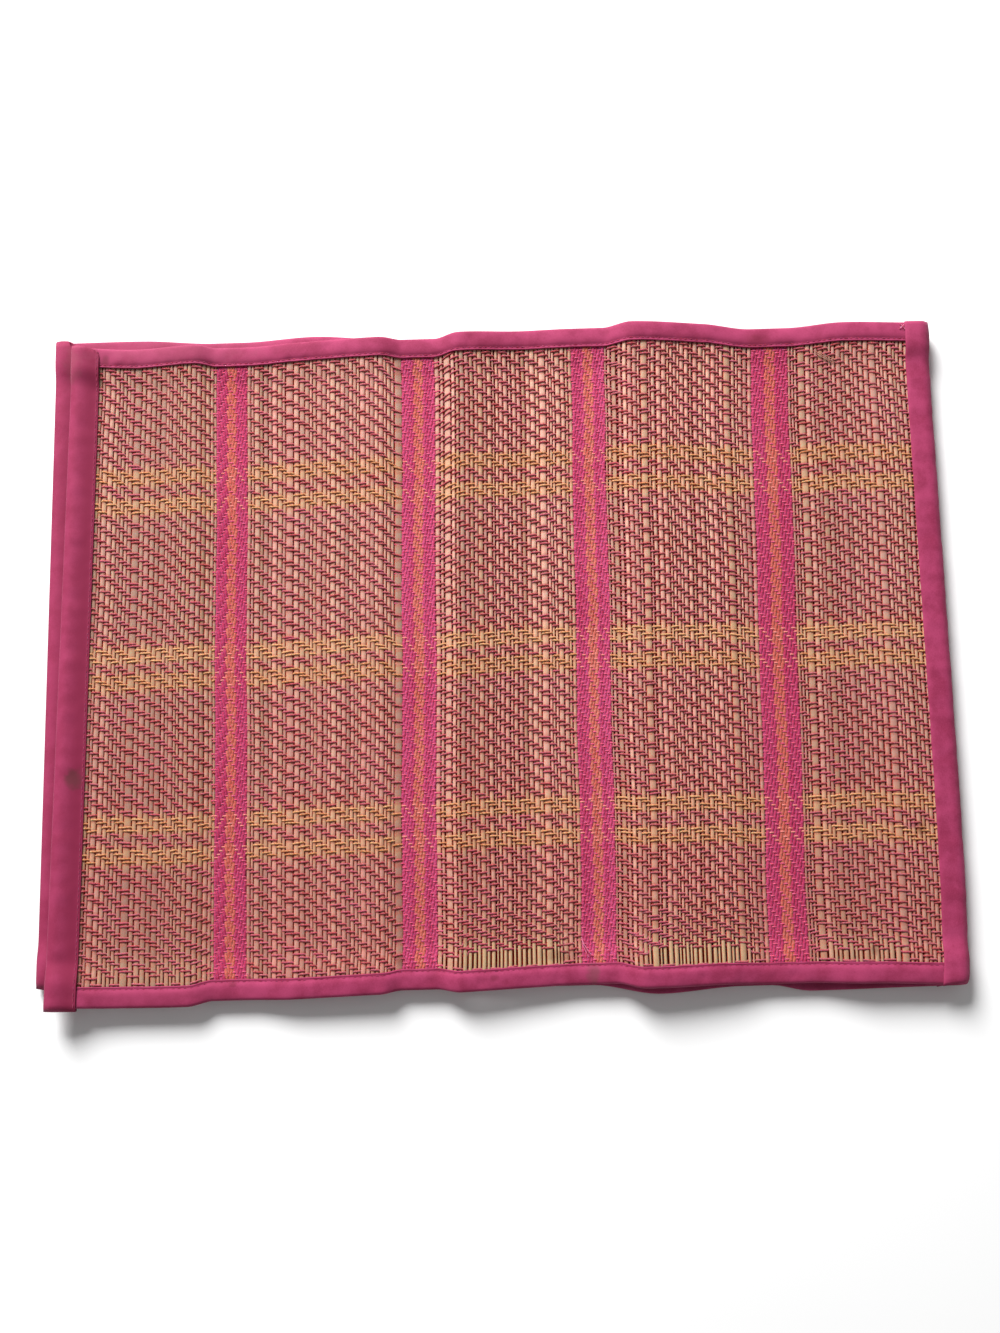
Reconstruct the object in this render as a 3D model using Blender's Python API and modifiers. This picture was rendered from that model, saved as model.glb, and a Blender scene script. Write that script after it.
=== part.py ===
"""A woven reed placemat with sewn cotton tape, folded in half and lying on a table.

The mat is one long woven length. Stiff reeds run across it and thin cotton yarns along it.
Cotton tape binds its four edges. It is folded once, along its middle, where one more strip of
the same tape covers the fold. Every solid is worked out on one surface: `mid_surface` lays
the flat mat, `along` and `across`, into its folded place, and each piece is a sheet at a
height above or below that surface.

Frame: metres, +X to the fold, +Y to the far side, +Z up. The origin is under the middle of the
mat's box, on the table.
"""

import math
from typing import Callable, NamedTuple

import bpy
from mathutils import Vector

MM = 0.001

# Thicknesses and clearances
MAT_THICKNESS = 1.2 * MM
TAPE_THICKNESS = 1.0 * MM
GAP = 0.3 * MM

# The flat mat
REED_REACH = 167.0 * MM  # half a reed's length, from the middle to either edge tape's nose
EDGE_TAPE_WALL = 8.8 * MM  # how far an edge tape lies over the weave
END_TAPE_WALL = 13.0 * MM  # how far an end tape lies over the weave
FOLD_STRIP_WALL = 8.8 * MM  # how far the fold's strip lies over the weave past the fold itself
TAPE_OVERHANG = 1.0 * MM  # how far an end tape or the fold's strip runs past the edge tapes
STEP_LENGTH = 12.0 * MM  # the stretch in which those climb over an edge tape

# The fold bows out to the right, most towards its near end, and the bow dies away along the mat
FOLD_BOW = 4.4 * MM
FOLD_BOW_LENGTH = 60.0 * MM
FOLD_BOW_TURN = 12  # how sharply it turns back before the near corner
FOLD_BOW_LEFT = 0.3  # the share of it that is left at that corner

# How fine the faceted solids are
STATION_SPACING = 12.0 * MM
FOLD_FACETS = 8
NOSE_FACETS = 4
MIDDLE_FACETS = 3
STEP_FACETS = 2

# Heights above the mat's middle surface, worked out from the thicknesses
TAPE_INSIDE = MAT_THICKNESS / 2 + GAP
TAPE_OUTSIDE = TAPE_INSIDE + TAPE_THICKNESS
OVER_TAPE_CLIMB = TAPE_THICKNESS + GAP


class Row(NamedTuple):
    """One reed line of a layer, in millimetres: a level band or the crown of an arch."""

    x: float  # where it crosses the middle of the mat's depth
    level: float  # the width round it that lies level, which is a band's width
    lean: float  # how far its far end lies to the right of its near end
    sway: float  # how far its middle is shifted to the far side
    reach: float  # half its length
    near: float  # height of its near end
    far: float  # height of its far end


# The layer on top, from its free end on the left to the fold
UPPER_LAYER = {
    "free end": Row(-223.0, 0.0, 7.6, -0.6, 166.4, 12.2, 10.4),
    "first hollow": Row(-190.0, 0.0, 5.0, -1.6, 166.6, 8.7, 7.1),
    "first crown": Row(-158.0, 0.0, 2.5, -1.2, 167.2, 8.5, 9.0),
    "first band": Row(-138.7, 15.8, 1.5, -0.7, 165.5, 6.1, 6.1),
    "second hollow": Row(-105.0, 0.0, 2.5, 0.0, 166.2, 9.0, 7.1),
    "second crown": Row(-63.0, 0.0, 4.5, 1.2, 166.2, 9.5, 9.0),
    "second band": Row(-43.0, 16.8, 5.5, 1.4, 165.0, 6.2, 6.2),
    "third crown": Row(-22.0, 0.0, 6.0, 1.8, 166.6, 11.0, 10.0),
    "third hollow": Row(12.0, 0.0, 6.0, 2.7, 166.4, 8.5, 6.4),
    "third band": Row(45.7, 16.8, 5.3, 3.1, 166.2, 6.6, 7.2),
    "fourth crown": Row(68.0, 0.0, 6.5, 2.5, 167.6, 13.0, 13.0),
    "fourth hollow": Row(105.0, 0.0, 7.3, 2.2, 166.8, 10.5, 9.0),
    "fourth band": Row(139.6, 18.8, 7.5, 0.6, 165.9, 6.4, 6.2),
    "fifth crown": Row(178.0, 0.0, 6.5, 0.9, 166.8, 10.0, 9.0),
    "fold": Row(219.2, 0.0, 5.3, -0.6, 166.9, 9.2, 9.2),
}

# The layer under it, which lies on the table at its ends and its bands
LOWER_LAYER = {
    "free end": Row(-231.8, 0.0, 4.0, 7.0, 164.0, 3.35, 3.35),
    "first crown": Row(-186.0, 0.0, 3.0, 4.2, 167.0, 2.7, 2.7),
    "first band": Row(-141.0, 16.0, 2.0, 3.9, 165.3, 1.9, 1.9),
    "second crown": Row(-95.0, 0.0, 2.0, 3.7, 167.2, 2.8, 2.8),
    "second band": Row(-46.0, 16.0, 3.0, 2.4, 165.8, 1.9, 1.9),
    "third crown": Row(-8.0, 0.0, 4.0, 2.8, 165.8, 2.2, 2.2),
    "third band": Row(34.0, 14.0, 4.0, 1.2, 165.2, 1.9, 1.9),
    "fourth crown": Row(75.0, 0.0, 5.0, -1.6, 167.3, 3.2, 3.2),
    "fourth band": Row(124.0, 14.0, 7.0, -1.2, 165.2, 1.9, 1.9),
    "fifth crown": Row(150.0, 0.0, 6.5, -2.1, 167.4, 2.0, 2.0),
    "fold": Row(219.2, 0.0, 5.3, -1.8, 166.9, 3.2, 3.2),
}

# The middle of the mat's box, in the tables' own X and Y
BOX_MIDDLE_X = -4.48 * MM
BOX_MIDDLE_Y = 1.17 * MM


def level_rows(layer: dict[str, Row]) -> list[Row]:
    """A layer's rows in metres, from left to right, with both sides of each level stretch."""
    rows = []
    for row in layer.values():
        sides = (-row.level / 2, row.level / 2) if row.level else (0.0,)
        for side in sides:
            metres = Row(*(value * MM for value in row._replace(x=row.x + side)))
            rows.append(metres._replace(x=metres.x - BOX_MIDDLE_X, sway=metres.sway - BOX_MIDDLE_Y))
    return rows


UPPER_ROWS = level_rows(UPPER_LAYER)
LOWER_ROWS = level_rows(LOWER_LAYER)


def side_slope(before: float, after: float) -> float:
    """The slope at a row between two stretches, level where the curve turns, so it never overshoots."""
    if before * after <= 0:
        return 0.0
    return 2 * before * after / (before + after)


def slope_after(rows: list[Row], i: int, column: int) -> float:
    """A column's slope from row i to the next one, and 0 past the fold."""
    if i > len(rows) - 2:
        return 0.0
    return (rows[i + 1][column] - rows[i][column]) / (rows[i + 1].x - rows[i].x)


def row_at(rows: list[Row], x: float) -> Row:
    """The smooth curve through a layer's rows, read at x. It is level at the fold."""
    i = 0
    while i < len(rows) - 2 and x > rows[i + 1].x:
        i += 1
    left, right = rows[i], rows[i + 1]
    width = right.x - left.x
    t = (x - left.x) / width
    values = []
    for column in range(len(left)):
        here = slope_after(rows, i, column)
        start = here if i == 0 else side_slope(slope_after(rows, i - 1, column), here)
        end = side_slope(here, slope_after(rows, i + 1, column))
        values.append(
            left[column] * (1 + 2 * t) * (1 - t) ** 2
            + right[column] * t * t * (3 - 2 * t)
            + width * t * (1 - t) * (start * (1 - t) - end * t)
        )
    return Row(*values)._replace(x=x)


def smooth_step(value: float) -> float:
    """0 up to 0, 1 from 1 on, and an even S between them."""
    t = min(max(value, 0.0), 1.0)
    return t * t * (3 - 2 * t)


def over_edge_tape(across: float) -> float:
    """1 where an edge tape lies, 0 over the bare weave, and a soft step between them."""
    inside = REED_REACH - EDGE_TAPE_WALL - GAP - STEP_LENGTH
    return smooth_step((abs(across) - inside) / STEP_LENGTH)


def end_height(row: Row, across: float) -> float:
    """The height of a reed line at a place along it. Its bare middle hangs a tape's thickness lower."""
    share = 0.5 + across / (2 * REED_REACH)
    return row.near + (row.far - row.near) * share - OVER_TAPE_CLIMB * (1 - over_edge_tape(across))


FOLD_RADIUS = (UPPER_LAYER["fold"].near - LOWER_LAYER["fold"].near) * MM / 2
QUARTER_FOLD = math.pi / 2 * FOLD_RADIUS
UPPER_LENGTH = UPPER_ROWS[-1].x - UPPER_ROWS[0].x + QUARTER_FOLD
LOWER_LENGTH = LOWER_ROWS[-1].x - LOWER_ROWS[0].x + QUARTER_FOLD


def fold_bow(along: float, across: float) -> float:
    """How far the bow of the fold moves a place of the flat mat to the right."""
    nearness = 0.5 - across / (2 * REED_REACH)
    bow = FOLD_BOW * nearness * (1 - (1 - FOLD_BOW_LEFT) * nearness ** FOLD_BOW_TURN)
    return bow * smooth_step(1 - (abs(along) - QUARTER_FOLD) / FOLD_BOW_LENGTH)


def mid_surface(along: float, across: float) -> Vector:
    """The folded place of a point of the flat mat.

    Args:
        along: distance from the middle of the fold, negative in the lower layer.
        across: distance from the middle of a reed, positive to the far side.
    """
    if abs(along) <= QUARTER_FOLD:
        turn = along / FOLD_RADIUS
        under, over = LOWER_ROWS[-1], UPPER_ROWS[-1]
        mix = 0.5 + 0.5 * math.sin(turn)
        row = Row(*(a + (b - a) * mix for a, b in zip(under, over)))
        x = row.x + FOLD_RADIUS * math.cos(turn)
    else:
        rows = UPPER_ROWS if along > 0 else LOWER_ROWS
        x = rows[-1].x - (abs(along) - QUARTER_FOLD)
        row = row_at(rows, x)
    share = across / REED_REACH
    x += row.lean * share / 2 + fold_bow(along, across)
    return Vector((x, row.sway + row.reach * share, end_height(row, across)))


def place(along: float, across: float, height: float) -> Vector:
    """A point at a height over the mat's outer face, which is up in the upper layer and down below."""
    probe = 0.1 * MM
    run = mid_surface(along + probe, across) - mid_surface(along - probe, across)
    side = mid_surface(along, across + probe) - mid_surface(along, across - probe)
    return mid_surface(along, across) + side.cross(run).normalized() * height


def evenly(start: float, end: float, count: int) -> list[float]:
    """count equal steps from start to end, with both ends."""
    return [start + (end - start) * i / count for i in range(count + 1)]


def joined(*runs: list[float]) -> list[float]:
    """Runs of values one after the other, where each begins at the last one's end."""
    values = list(runs[0])
    for run in runs[1:]:
        values += run[1:]
    return values


def stations(rows: list[Row]) -> list[float]:
    """Values of along at every row of a layer and at even steps between rows, outwards from the fold."""
    places = []
    for left, right in zip(rows, rows[1:]):
        count = max(1, round((right.x - left.x) / STATION_SPACING))
        places += evenly(left.x, right.x, count)[:-1]
    return [rows[-1].x + QUARTER_FOLD - x for x in reversed(places)]


def mat_stations() -> list[float]:
    """Values of along over the whole mat, from the lower free end round the fold to the upper one."""
    lower = [-value for value in reversed(stations(LOWER_ROWS))]
    fold = evenly(-QUARTER_FOLD, QUARTER_FOLD, FOLD_FACETS)
    return lower + fold + stations(UPPER_ROWS)


def reed_stations(reach: float) -> list[float]:
    """Values of across from -reach to reach, finer where the surface steps over an edge tape."""
    tape_edge = REED_REACH - EDGE_TAPE_WALL - GAP
    step_edge = tape_edge - STEP_LENGTH
    return joined(
        [-reach, -tape_edge],
        evenly(-tape_edge, -step_edge, STEP_FACETS),
        evenly(-step_edge, step_edge, MIDDLE_FACETS),
        evenly(step_edge, tape_edge, STEP_FACETS),
        [tape_edge, reach],
    )


def sheet(
    name: str,
    columns: list,
    rows: list,
    point: Callable[..., Vector],
    thickness: float,
    offset: float,
) -> bpy.types.Object:
    """A grid whose points are laid by a function, made a solid sheet by Solidify.

    Args:
        name: the object's name.
        columns: what the point's first argument runs through, along the grid's X.
        rows: what its second argument runs through, along the grid's Y.
        point: the place of a pair of these.
        thickness: how thick the sheet is.
        offset: 0 with the surface in the sheet's middle, 1 or -1 with it on one side.
    """
    bpy.ops.mesh.primitive_grid_add(
        x_subdivisions=len(columns) - 1, y_subdivisions=len(rows) - 1, size=1
    )
    obj = bpy.context.object
    obj.name = obj.data.name = name
    for i, vertex in enumerate(obj.data.vertices):
        vertex.co = point(columns[i % len(columns)], rows[i // len(columns)])
    solid = obj.modifiers.new("Thickness", "SOLIDIFY")
    solid.thickness = thickness
    solid.offset = offset
    obj.data.shade_smooth()
    return obj


class Bend(NamedTuple):
    """A point of a tape's profile: under the mat, round its edge, and over it."""

    place: float  # the place on the mat, or its edge for the points of the nose
    outward: float  # how far past that place, as a share of the profile's radius
    upward: float  # how far over the middle surface, as a share of the radius


def profile(wall: list[float]) -> list[Bend]:
    """The inner side of a tape folded over an edge.

    Args:
        wall: places from the tape's inner edge to the mat's edge.
    """
    turns = evenly(-math.pi / 2, math.pi / 2, NOSE_FACETS)[1:-1]
    under = [Bend(place, 0.0, -1.0) for place in wall]
    nose = [Bend(wall[-1], math.cos(turn), math.sin(turn)) for turn in turns]
    over = [Bend(place, 0.0, 1.0) for place in reversed(wall)]
    return under + nose + over


def woven_mat() -> bpy.types.Object:
    """The whole woven length, folded in half: one solid."""
    return sheet(
        "woven_mat", mat_stations(), reed_stations(REED_REACH),
        lambda along, across: place(along, across, 0.0), MAT_THICKNESS, 0.0,
    )


def edge_tape(name: str, side: int) -> bpy.types.Object:
    """The tape along one long edge, folded over it and round the fold.

    Args:
        name: the object's name.
        side: 1 at the far edge and -1 at the near one.
    """
    def point(along: float, bend: Bend) -> Vector:
        reach = bend.place + bend.outward * TAPE_INSIDE
        return place(along, reach * side, bend.upward * TAPE_INSIDE)

    bends = profile([REED_REACH - EDGE_TAPE_WALL, REED_REACH])[::side]
    return sheet(name, mat_stations(), bends, point, TAPE_THICKNESS, 1.0)


def end_tape(name: str, side: int, length: float) -> bpy.types.Object:
    """The tape over one free end, sewn on last, over the ends of the edge tapes.

    Args:
        name: the object's name.
        side: 1 on the upper layer and -1 on the lower one.
        length: how far that layer's end is from the middle of the fold.
    """
    def point(bend: Bend, across: float) -> Vector:
        radius = TAPE_INSIDE + OVER_TAPE_CLIMB * over_edge_tape(across)
        return place((bend.place + bend.outward * radius) * side, across, bend.upward * radius)

    inner = length - END_TAPE_WALL
    wall = [inner] + [station * side for station in mat_stations()[::side] if station * side > inner]
    overall = REED_REACH + TAPE_OUTSIDE + TAPE_OVERHANG
    return sheet(name, profile(wall)[::side], reed_stations(overall), point, TAPE_THICKNESS, 1.0)


def fold_strip() -> bpy.types.Object:
    """The strip round the outside of the fold, over the edge tapes."""
    def point(along: float, across: float) -> Vector:
        return place(along, across, TAPE_INSIDE + OVER_TAPE_CLIMB * over_edge_tape(across))

    end = QUARTER_FOLD + FOLD_STRIP_WALL
    columns = joined([-end, -QUARTER_FOLD], evenly(-QUARTER_FOLD, QUARTER_FOLD, FOLD_FACETS),
                     [QUARTER_FOLD, end])
    overall = REED_REACH + TAPE_OUTSIDE + TAPE_OVERHANG
    return sheet("fold_strip", columns, reed_stations(overall), point, TAPE_THICKNESS, -1.0)


def finish(name: str, colour: tuple[float, float, float], roughness: float) -> bpy.types.Material:
    """A plain material of one colour.

    Args:
        name: the material's name.
        colour: its red, green and blue.
        roughness: how dull it is.
    """
    material = bpy.data.materials.new(name)
    material.use_nodes = True
    shader = material.node_tree.nodes["Principled BSDF"]
    shader.inputs["Base Color"].default_value = (*colour, 1.0)
    shader.inputs["Roughness"].default_value = roughness
    shader.inputs["Metallic"].default_value = 0.0
    return material


def main() -> None:
    """Clears the scene and builds each piece into one collection."""
    for obj in list(bpy.data.objects):
        bpy.data.objects.remove(obj)
    collection = bpy.data.collections.new("folded placemat")
    bpy.context.scene.collection.children.link(collection)

    reed_colour, tape_colour = (0.56, 0.33, 0.21), (0.52, 0.05, 0.16)
    pieces = {
        woven_mat(): ("reed and cotton weave", reed_colour, 0.6),
        edge_tape("far_edge_tape", 1): ("far edge cotton", tape_colour, 0.85),
        edge_tape("near_edge_tape", -1): ("near edge cotton", tape_colour, 0.85),
        end_tape("upper_end_tape", 1, UPPER_LENGTH): ("upper end cotton", tape_colour, 0.85),
        end_tape("lower_end_tape", -1, LOWER_LENGTH): ("lower end cotton", tape_colour, 0.85),
        fold_strip(): ("fold cotton", tape_colour, 0.85),
    }
    for obj, look in pieces.items():
        obj.data.materials.append(finish(*look))
        for home in list(obj.users_collection):
            home.objects.unlink(obj)
        collection.objects.link(obj)


main()
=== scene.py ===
"""The looks of a long woven reed placemat, taped along its edges and folded in half on a table.

Every piece is first made flat, as on the maker's bench: `along` runs from the middle of the fold
(above 0 in the upper layer, below 0 in the lower one), `across` from the middle of the reeds to
the far side, and `height` up from the weave's middle over its outer face. `Fold.lay` then puts
the points where the folded mat has them. Sizes are in millimetres times MM.
"""

import logging
import math
from dataclasses import dataclass, field
from enum import Enum
from typing import Callable, NamedTuple, Optional, Sequence

import bmesh
import bpy
import numpy as np
from mathutils import Matrix, Vector


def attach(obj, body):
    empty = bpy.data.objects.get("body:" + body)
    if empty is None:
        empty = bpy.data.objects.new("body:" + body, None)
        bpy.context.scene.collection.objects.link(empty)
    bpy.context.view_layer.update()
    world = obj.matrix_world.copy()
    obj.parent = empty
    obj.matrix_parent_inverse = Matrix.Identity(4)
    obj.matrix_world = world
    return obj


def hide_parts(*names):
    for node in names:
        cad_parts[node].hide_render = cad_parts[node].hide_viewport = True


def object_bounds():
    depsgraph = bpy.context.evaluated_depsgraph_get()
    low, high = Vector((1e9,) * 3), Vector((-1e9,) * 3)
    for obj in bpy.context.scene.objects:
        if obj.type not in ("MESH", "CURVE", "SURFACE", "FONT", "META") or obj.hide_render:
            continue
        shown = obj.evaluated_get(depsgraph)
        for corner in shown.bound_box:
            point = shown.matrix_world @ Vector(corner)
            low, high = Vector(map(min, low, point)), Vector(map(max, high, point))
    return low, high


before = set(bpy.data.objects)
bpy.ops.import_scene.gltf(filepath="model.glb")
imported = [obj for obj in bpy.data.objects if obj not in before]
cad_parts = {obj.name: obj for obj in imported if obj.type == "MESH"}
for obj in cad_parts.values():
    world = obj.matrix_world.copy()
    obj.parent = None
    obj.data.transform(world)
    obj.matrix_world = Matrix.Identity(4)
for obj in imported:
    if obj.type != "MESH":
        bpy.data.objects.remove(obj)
CAD_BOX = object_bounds()

LOG = logging.getLogger("placemat")
MM = 0.001
Colour = tuple[float, float, float]
Thread = tuple[tuple[float, float, float], ...]
Place = Callable[[np.ndarray, np.ndarray, np.ndarray], np.ndarray]

# The flat mat, as in the solids
REED_REACH = 167.0 * MM
EDGE_TAPE_WALL = 8.8 * MM
END_TAPE_WALL = 13.0 * MM
FOLD_STRIP_WALL = 8.8 * MM
TAPE_THICKNESS = 1.0 * MM
TAPE_OUTSIDE = 1.9 * MM
TAPE_GAP = 0.3 * MM
STEP_LENGTH = 12.0 * MM
OVER_TAPE_CLIMB = 1.3 * MM

# The fold bows out to the right, most towards its near end, and the bow dies away along the mat
FOLD_BOW = 4.4 * MM
FOLD_BOW_LENGTH = 60.0 * MM
FOLD_BOW_TURN = 12  # how sharply it turns back before the near corner
FOLD_BOW_LEFT = 0.3  # the share of it that is left at that corner

# Below this height over the table the lower layer is pressed flatter, and stays above the table
PRESSED = 0.4 * MM

# The middle of the mat's box, in the tables' own X and Y
BOX_MIDDLE_X = -4.48 * MM
BOX_MIDDLE_Y = 1.17 * MM

# The yarns that run along the mat
YARN_PITCH = 1.95 * MM
YARN_COUNT = 168
YARN_WIDTH = 1.02 * MM
YARN_THICKNESS = 0.58 * MM
YELLOW_LINES = (99.5, 83.5, 6.7, -8.0, -79.3, -95.7)  # millimetres across
YELLOW_HALF_WIDTH = 3.9 * MM

# The reeds and the cotton wefts that run across it
REED_PITCH = 2.33 * MM
REED_THICKNESS = 0.9 * MM
WIDE_REEDS = (-189.0, -108.0, -53.5, -28.0, 20.0, 73.0, 117.0, 158.0, 192.0)  # millimetres, table X
WIDE_REED = 1.75  # their width, as a multiple of the usual one
REED_WIDTHS = (0.62, 1.3)  # the range of the others, in the same way
SECTION_GAPS = (0.16, 0.16, 0.42, 0.5, 0.34)  # the usual gap in each section, in millimetres
GAP_SPREAD = (0.5, 1.6)  # the range of single gaps, as multiples of that

# The free shares of the baking map on both sides of a thread or reed in its row, at both ends
# of a row of threads, and at the rim of the map otherwise
ROW_MARGIN = 0.04
THREAD_MARGIN = 0.002
MAP_MARGIN = 0.01

IMAGE_HEIGHT = 1333  # the longer side of the photo's frame, in pixels


class Layer(Enum):
    """A half of the folded mat, with the sign of its `along`."""

    UPPER = 1
    LOWER = -1


class Side(Enum):
    """A long edge of the mat, with the sign of its `across`."""

    FAR = 1
    NEAR = -1


class Row(NamedTuple):
    """One reed line of a layer, in millimetres: a level band or the crown of an arch."""

    x: float  # where it crosses the middle of the mat's depth
    level: float  # the width round it that lies level, which is a band's width
    lean: float  # how far its far end lies to the right of its near end
    sway: float  # how far its middle is shifted to the far side
    reach: float  # half its length
    near: float  # height of its near end
    far: float  # height of its far end


# The layer on top, from its free end on the left to the fold
UPPER_LAYER = {
    "free end": Row(-223.0, 0.0, 7.6, -0.6, 166.4, 12.2, 10.4),
    "first hollow": Row(-190.0, 0.0, 5.0, -1.6, 166.6, 8.7, 7.1),
    "first crown": Row(-158.0, 0.0, 2.5, -1.2, 167.2, 8.5, 9.0),
    "first band": Row(-138.7, 15.8, 1.5, -0.7, 165.5, 6.1, 6.1),
    "second hollow": Row(-105.0, 0.0, 2.5, 0.0, 166.2, 9.0, 7.1),
    "second crown": Row(-63.0, 0.0, 4.5, 1.2, 166.2, 9.5, 9.0),
    "second band": Row(-43.0, 16.8, 5.5, 1.4, 165.0, 6.2, 6.2),
    "third crown": Row(-22.0, 0.0, 6.0, 1.8, 166.6, 11.0, 10.0),
    "third hollow": Row(12.0, 0.0, 6.0, 2.7, 166.4, 8.5, 6.4),
    "third band": Row(45.7, 16.8, 5.3, 3.1, 166.2, 6.6, 7.2),
    "fourth crown": Row(68.0, 0.0, 6.5, 2.5, 167.6, 13.0, 13.0),
    "fourth hollow": Row(105.0, 0.0, 7.3, 2.2, 166.8, 10.5, 9.0),
    "fourth band": Row(139.6, 18.8, 7.5, 0.6, 165.9, 6.4, 6.2),
    "fifth crown": Row(178.0, 0.0, 6.5, 0.9, 166.8, 10.0, 9.0),
    "fold": Row(219.2, 0.0, 5.3, -0.6, 166.9, 9.2, 9.2),
}

# The layer under it, which lies on the table at its ends and its bands
LOWER_LAYER = {
    "free end": Row(-231.8, 0.0, 4.0, 7.0, 164.0, 3.35, 3.35),
    "first crown": Row(-186.0, 0.0, 3.0, 4.2, 167.0, 2.7, 2.7),
    "first band": Row(-141.0, 16.0, 2.0, 3.9, 165.3, 1.9, 1.9),
    "second crown": Row(-95.0, 0.0, 2.0, 3.7, 167.2, 2.8, 2.8),
    "second band": Row(-46.0, 16.0, 3.0, 2.4, 165.8, 1.9, 1.9),
    "third crown": Row(-8.0, 0.0, 4.0, 2.8, 165.8, 2.2, 2.2),
    "third band": Row(34.0, 14.0, 4.0, 1.2, 165.2, 1.9, 1.9),
    "fourth crown": Row(75.0, 0.0, 5.0, -1.6, 167.3, 3.2, 3.2),
    "fourth band": Row(124.0, 14.0, 7.0, -1.2, 165.2, 1.9, 1.9),
    "fifth crown": Row(150.0, 0.0, 6.5, -2.1, 167.4, 2.0, 2.0),
    "fold": Row(219.2, 0.0, 5.3, -1.8, 166.9, 3.2, 3.2),
}

TABLES = {Layer.UPPER: UPPER_LAYER, Layer.LOWER: LOWER_LAYER}

# How many sides a thread has; little shows of the lower layer
SIDES = {Layer.UPPER: 5, Layer.LOWER: 3}


class Stretch(NamedTuple):
    """A stretch along the near tape where the yarns have slipped off the reeds' ends."""

    middle: float  # a table X, in millimetres
    half_length: float
    fade: float  # how far it fades at each end
    most: float  # how much of the whole slip there is in it, from 0 to 1


LOOSE = (
    Stretch(3.0, 30.0, 9.0, 1.0), Stretch(94.0, 36.0, 20.0, 1.0), Stretch(-29.0, 7.0, 5.0, 0.5),
    Stretch(-178.0, 32.0, 12.0, 0.35), Stretch(175.0, 26.0, 12.0, 0.5))


class Zone(NamedTuple):
    """A part of the mat that differs softly from the rest, most at its middle."""

    middle: float  # a table X, in millimetres
    reach: float  # how far it goes on either side
    lift: float  # how much it differs at its middle


def smooth_step(value: np.ndarray) -> np.ndarray:
    """0 up to 0, 1 from 1 on, and an even S between them."""
    t = np.clip(value, 0.0, 1.0)
    return t * t * (3 - 2 * t)


def over_edge_tape(across: np.ndarray) -> np.ndarray:
    """1 where an edge tape lies, 0 over the bare weave, and a soft step between them."""
    inside = REED_REACH - EDGE_TAPE_WALL - TAPE_GAP - STEP_LENGTH
    return smooth_step((np.abs(across) - inside) / STEP_LENGTH)


def bump_at(value: np.ndarray, middle: float, half_width: float) -> np.ndarray:
    """A soft bump, 1 at its middle and 0 from half its width on."""
    return smooth_step(1 - np.abs(value - middle) / half_width)


def looseness(table_x: np.ndarray) -> np.ndarray:
    """How loose the weave is along the near tape, from 0 to 1, from the `LOOSE` stretches."""
    return sum(most * smooth_step((half - np.abs(table_x - middle)) / fade)
               for middle, half, fade, most in LOOSE)


def zones_at(table_x: float, zones: Sequence[Zone]) -> float:
    """How much a place differs from the rest of the mat by some soft zones."""
    return sum(zone.lift * float(bump_at(table_x, zone.middle, zone.reach)) for zone in zones)


def kept_clear(share: np.ndarray, margin: float) -> np.ndarray:
    """A share from 0 to 1 squeezed to leave a margin at both ends."""
    return margin + (1 - 2 * margin) * share


def distances(points: np.ndarray) -> np.ndarray:
    """How far along a line of points each of them lies."""
    return np.concatenate([[0.0], np.cumsum(np.linalg.norm(np.diff(points, axis=0), axis=1))])


def runs_of(flags: np.ndarray) -> list[tuple[int, int, bool]]:
    """The runs of equal flags: the first place, the one past the last, and the flag."""
    turns = np.flatnonzero(np.diff(flags.astype(int))) + 1
    starts = [0, *turns.tolist(), len(flags)]
    return [(a, b, bool(flags[a])) for a, b in zip(starts, starts[1:])]


class RowCurve:
    """The smooth curve through one layer's rows, level at the fold."""

    def __init__(self, table: dict[str, Row]) -> None:
        """Reads a table into metres in the frame.

        Args:
            table: the layer's rows from its free end to the fold.
        """
        lines = []
        for row in table.values():
            for side in (-row.level / 2, row.level / 2) if row.level else (0.0,):
                lines.append([row.x + side, row.lean, row.sway, row.reach, row.near, row.far])
        values = np.array(lines) * MM
        self.x = values[:, 0] - BOX_MIDDLE_X
        self.values = values[:, 1:] - np.array([0.0, BOX_MIDDLE_Y, 0.0, 0.0, 0.0])
        steps = np.diff(self.values, axis=0) / np.diff(self.x)[:, None]
        before, after = steps[:-1], steps[1:]
        turns = before * after <= 0
        whole = np.where(turns, 1.0, before + after)
        inner = np.where(turns, 0.0, 2 * before * after / whole)
        self.slopes = np.vstack([steps[:1], inner, np.zeros((1, inner.shape[1]))])

    def read(self, x: np.ndarray) -> np.ndarray:
        """The rows' values at x.

        Args:
            x: places along the layer, in metres in the frame.

        Returns:
            Columns lean, sway, reach, near and far, one row for each place.
        """
        i = np.clip(np.searchsorted(self.x, x, side="left") - 1, 0, len(self.x) - 2)
        width = (self.x[i + 1] - self.x[i])[:, None]
        t = np.clip((x - self.x[i])[:, None] / width, -1.0, 2.0)
        return (
            self.values[i] * (1 + 2 * t) * (1 - t) ** 2
            + self.values[i + 1] * t * t * (3 - 2 * t)
            + width * t * (1 - t) * (self.slopes[i] * (1 - t) - self.slopes[i + 1] * t)
        )


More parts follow.
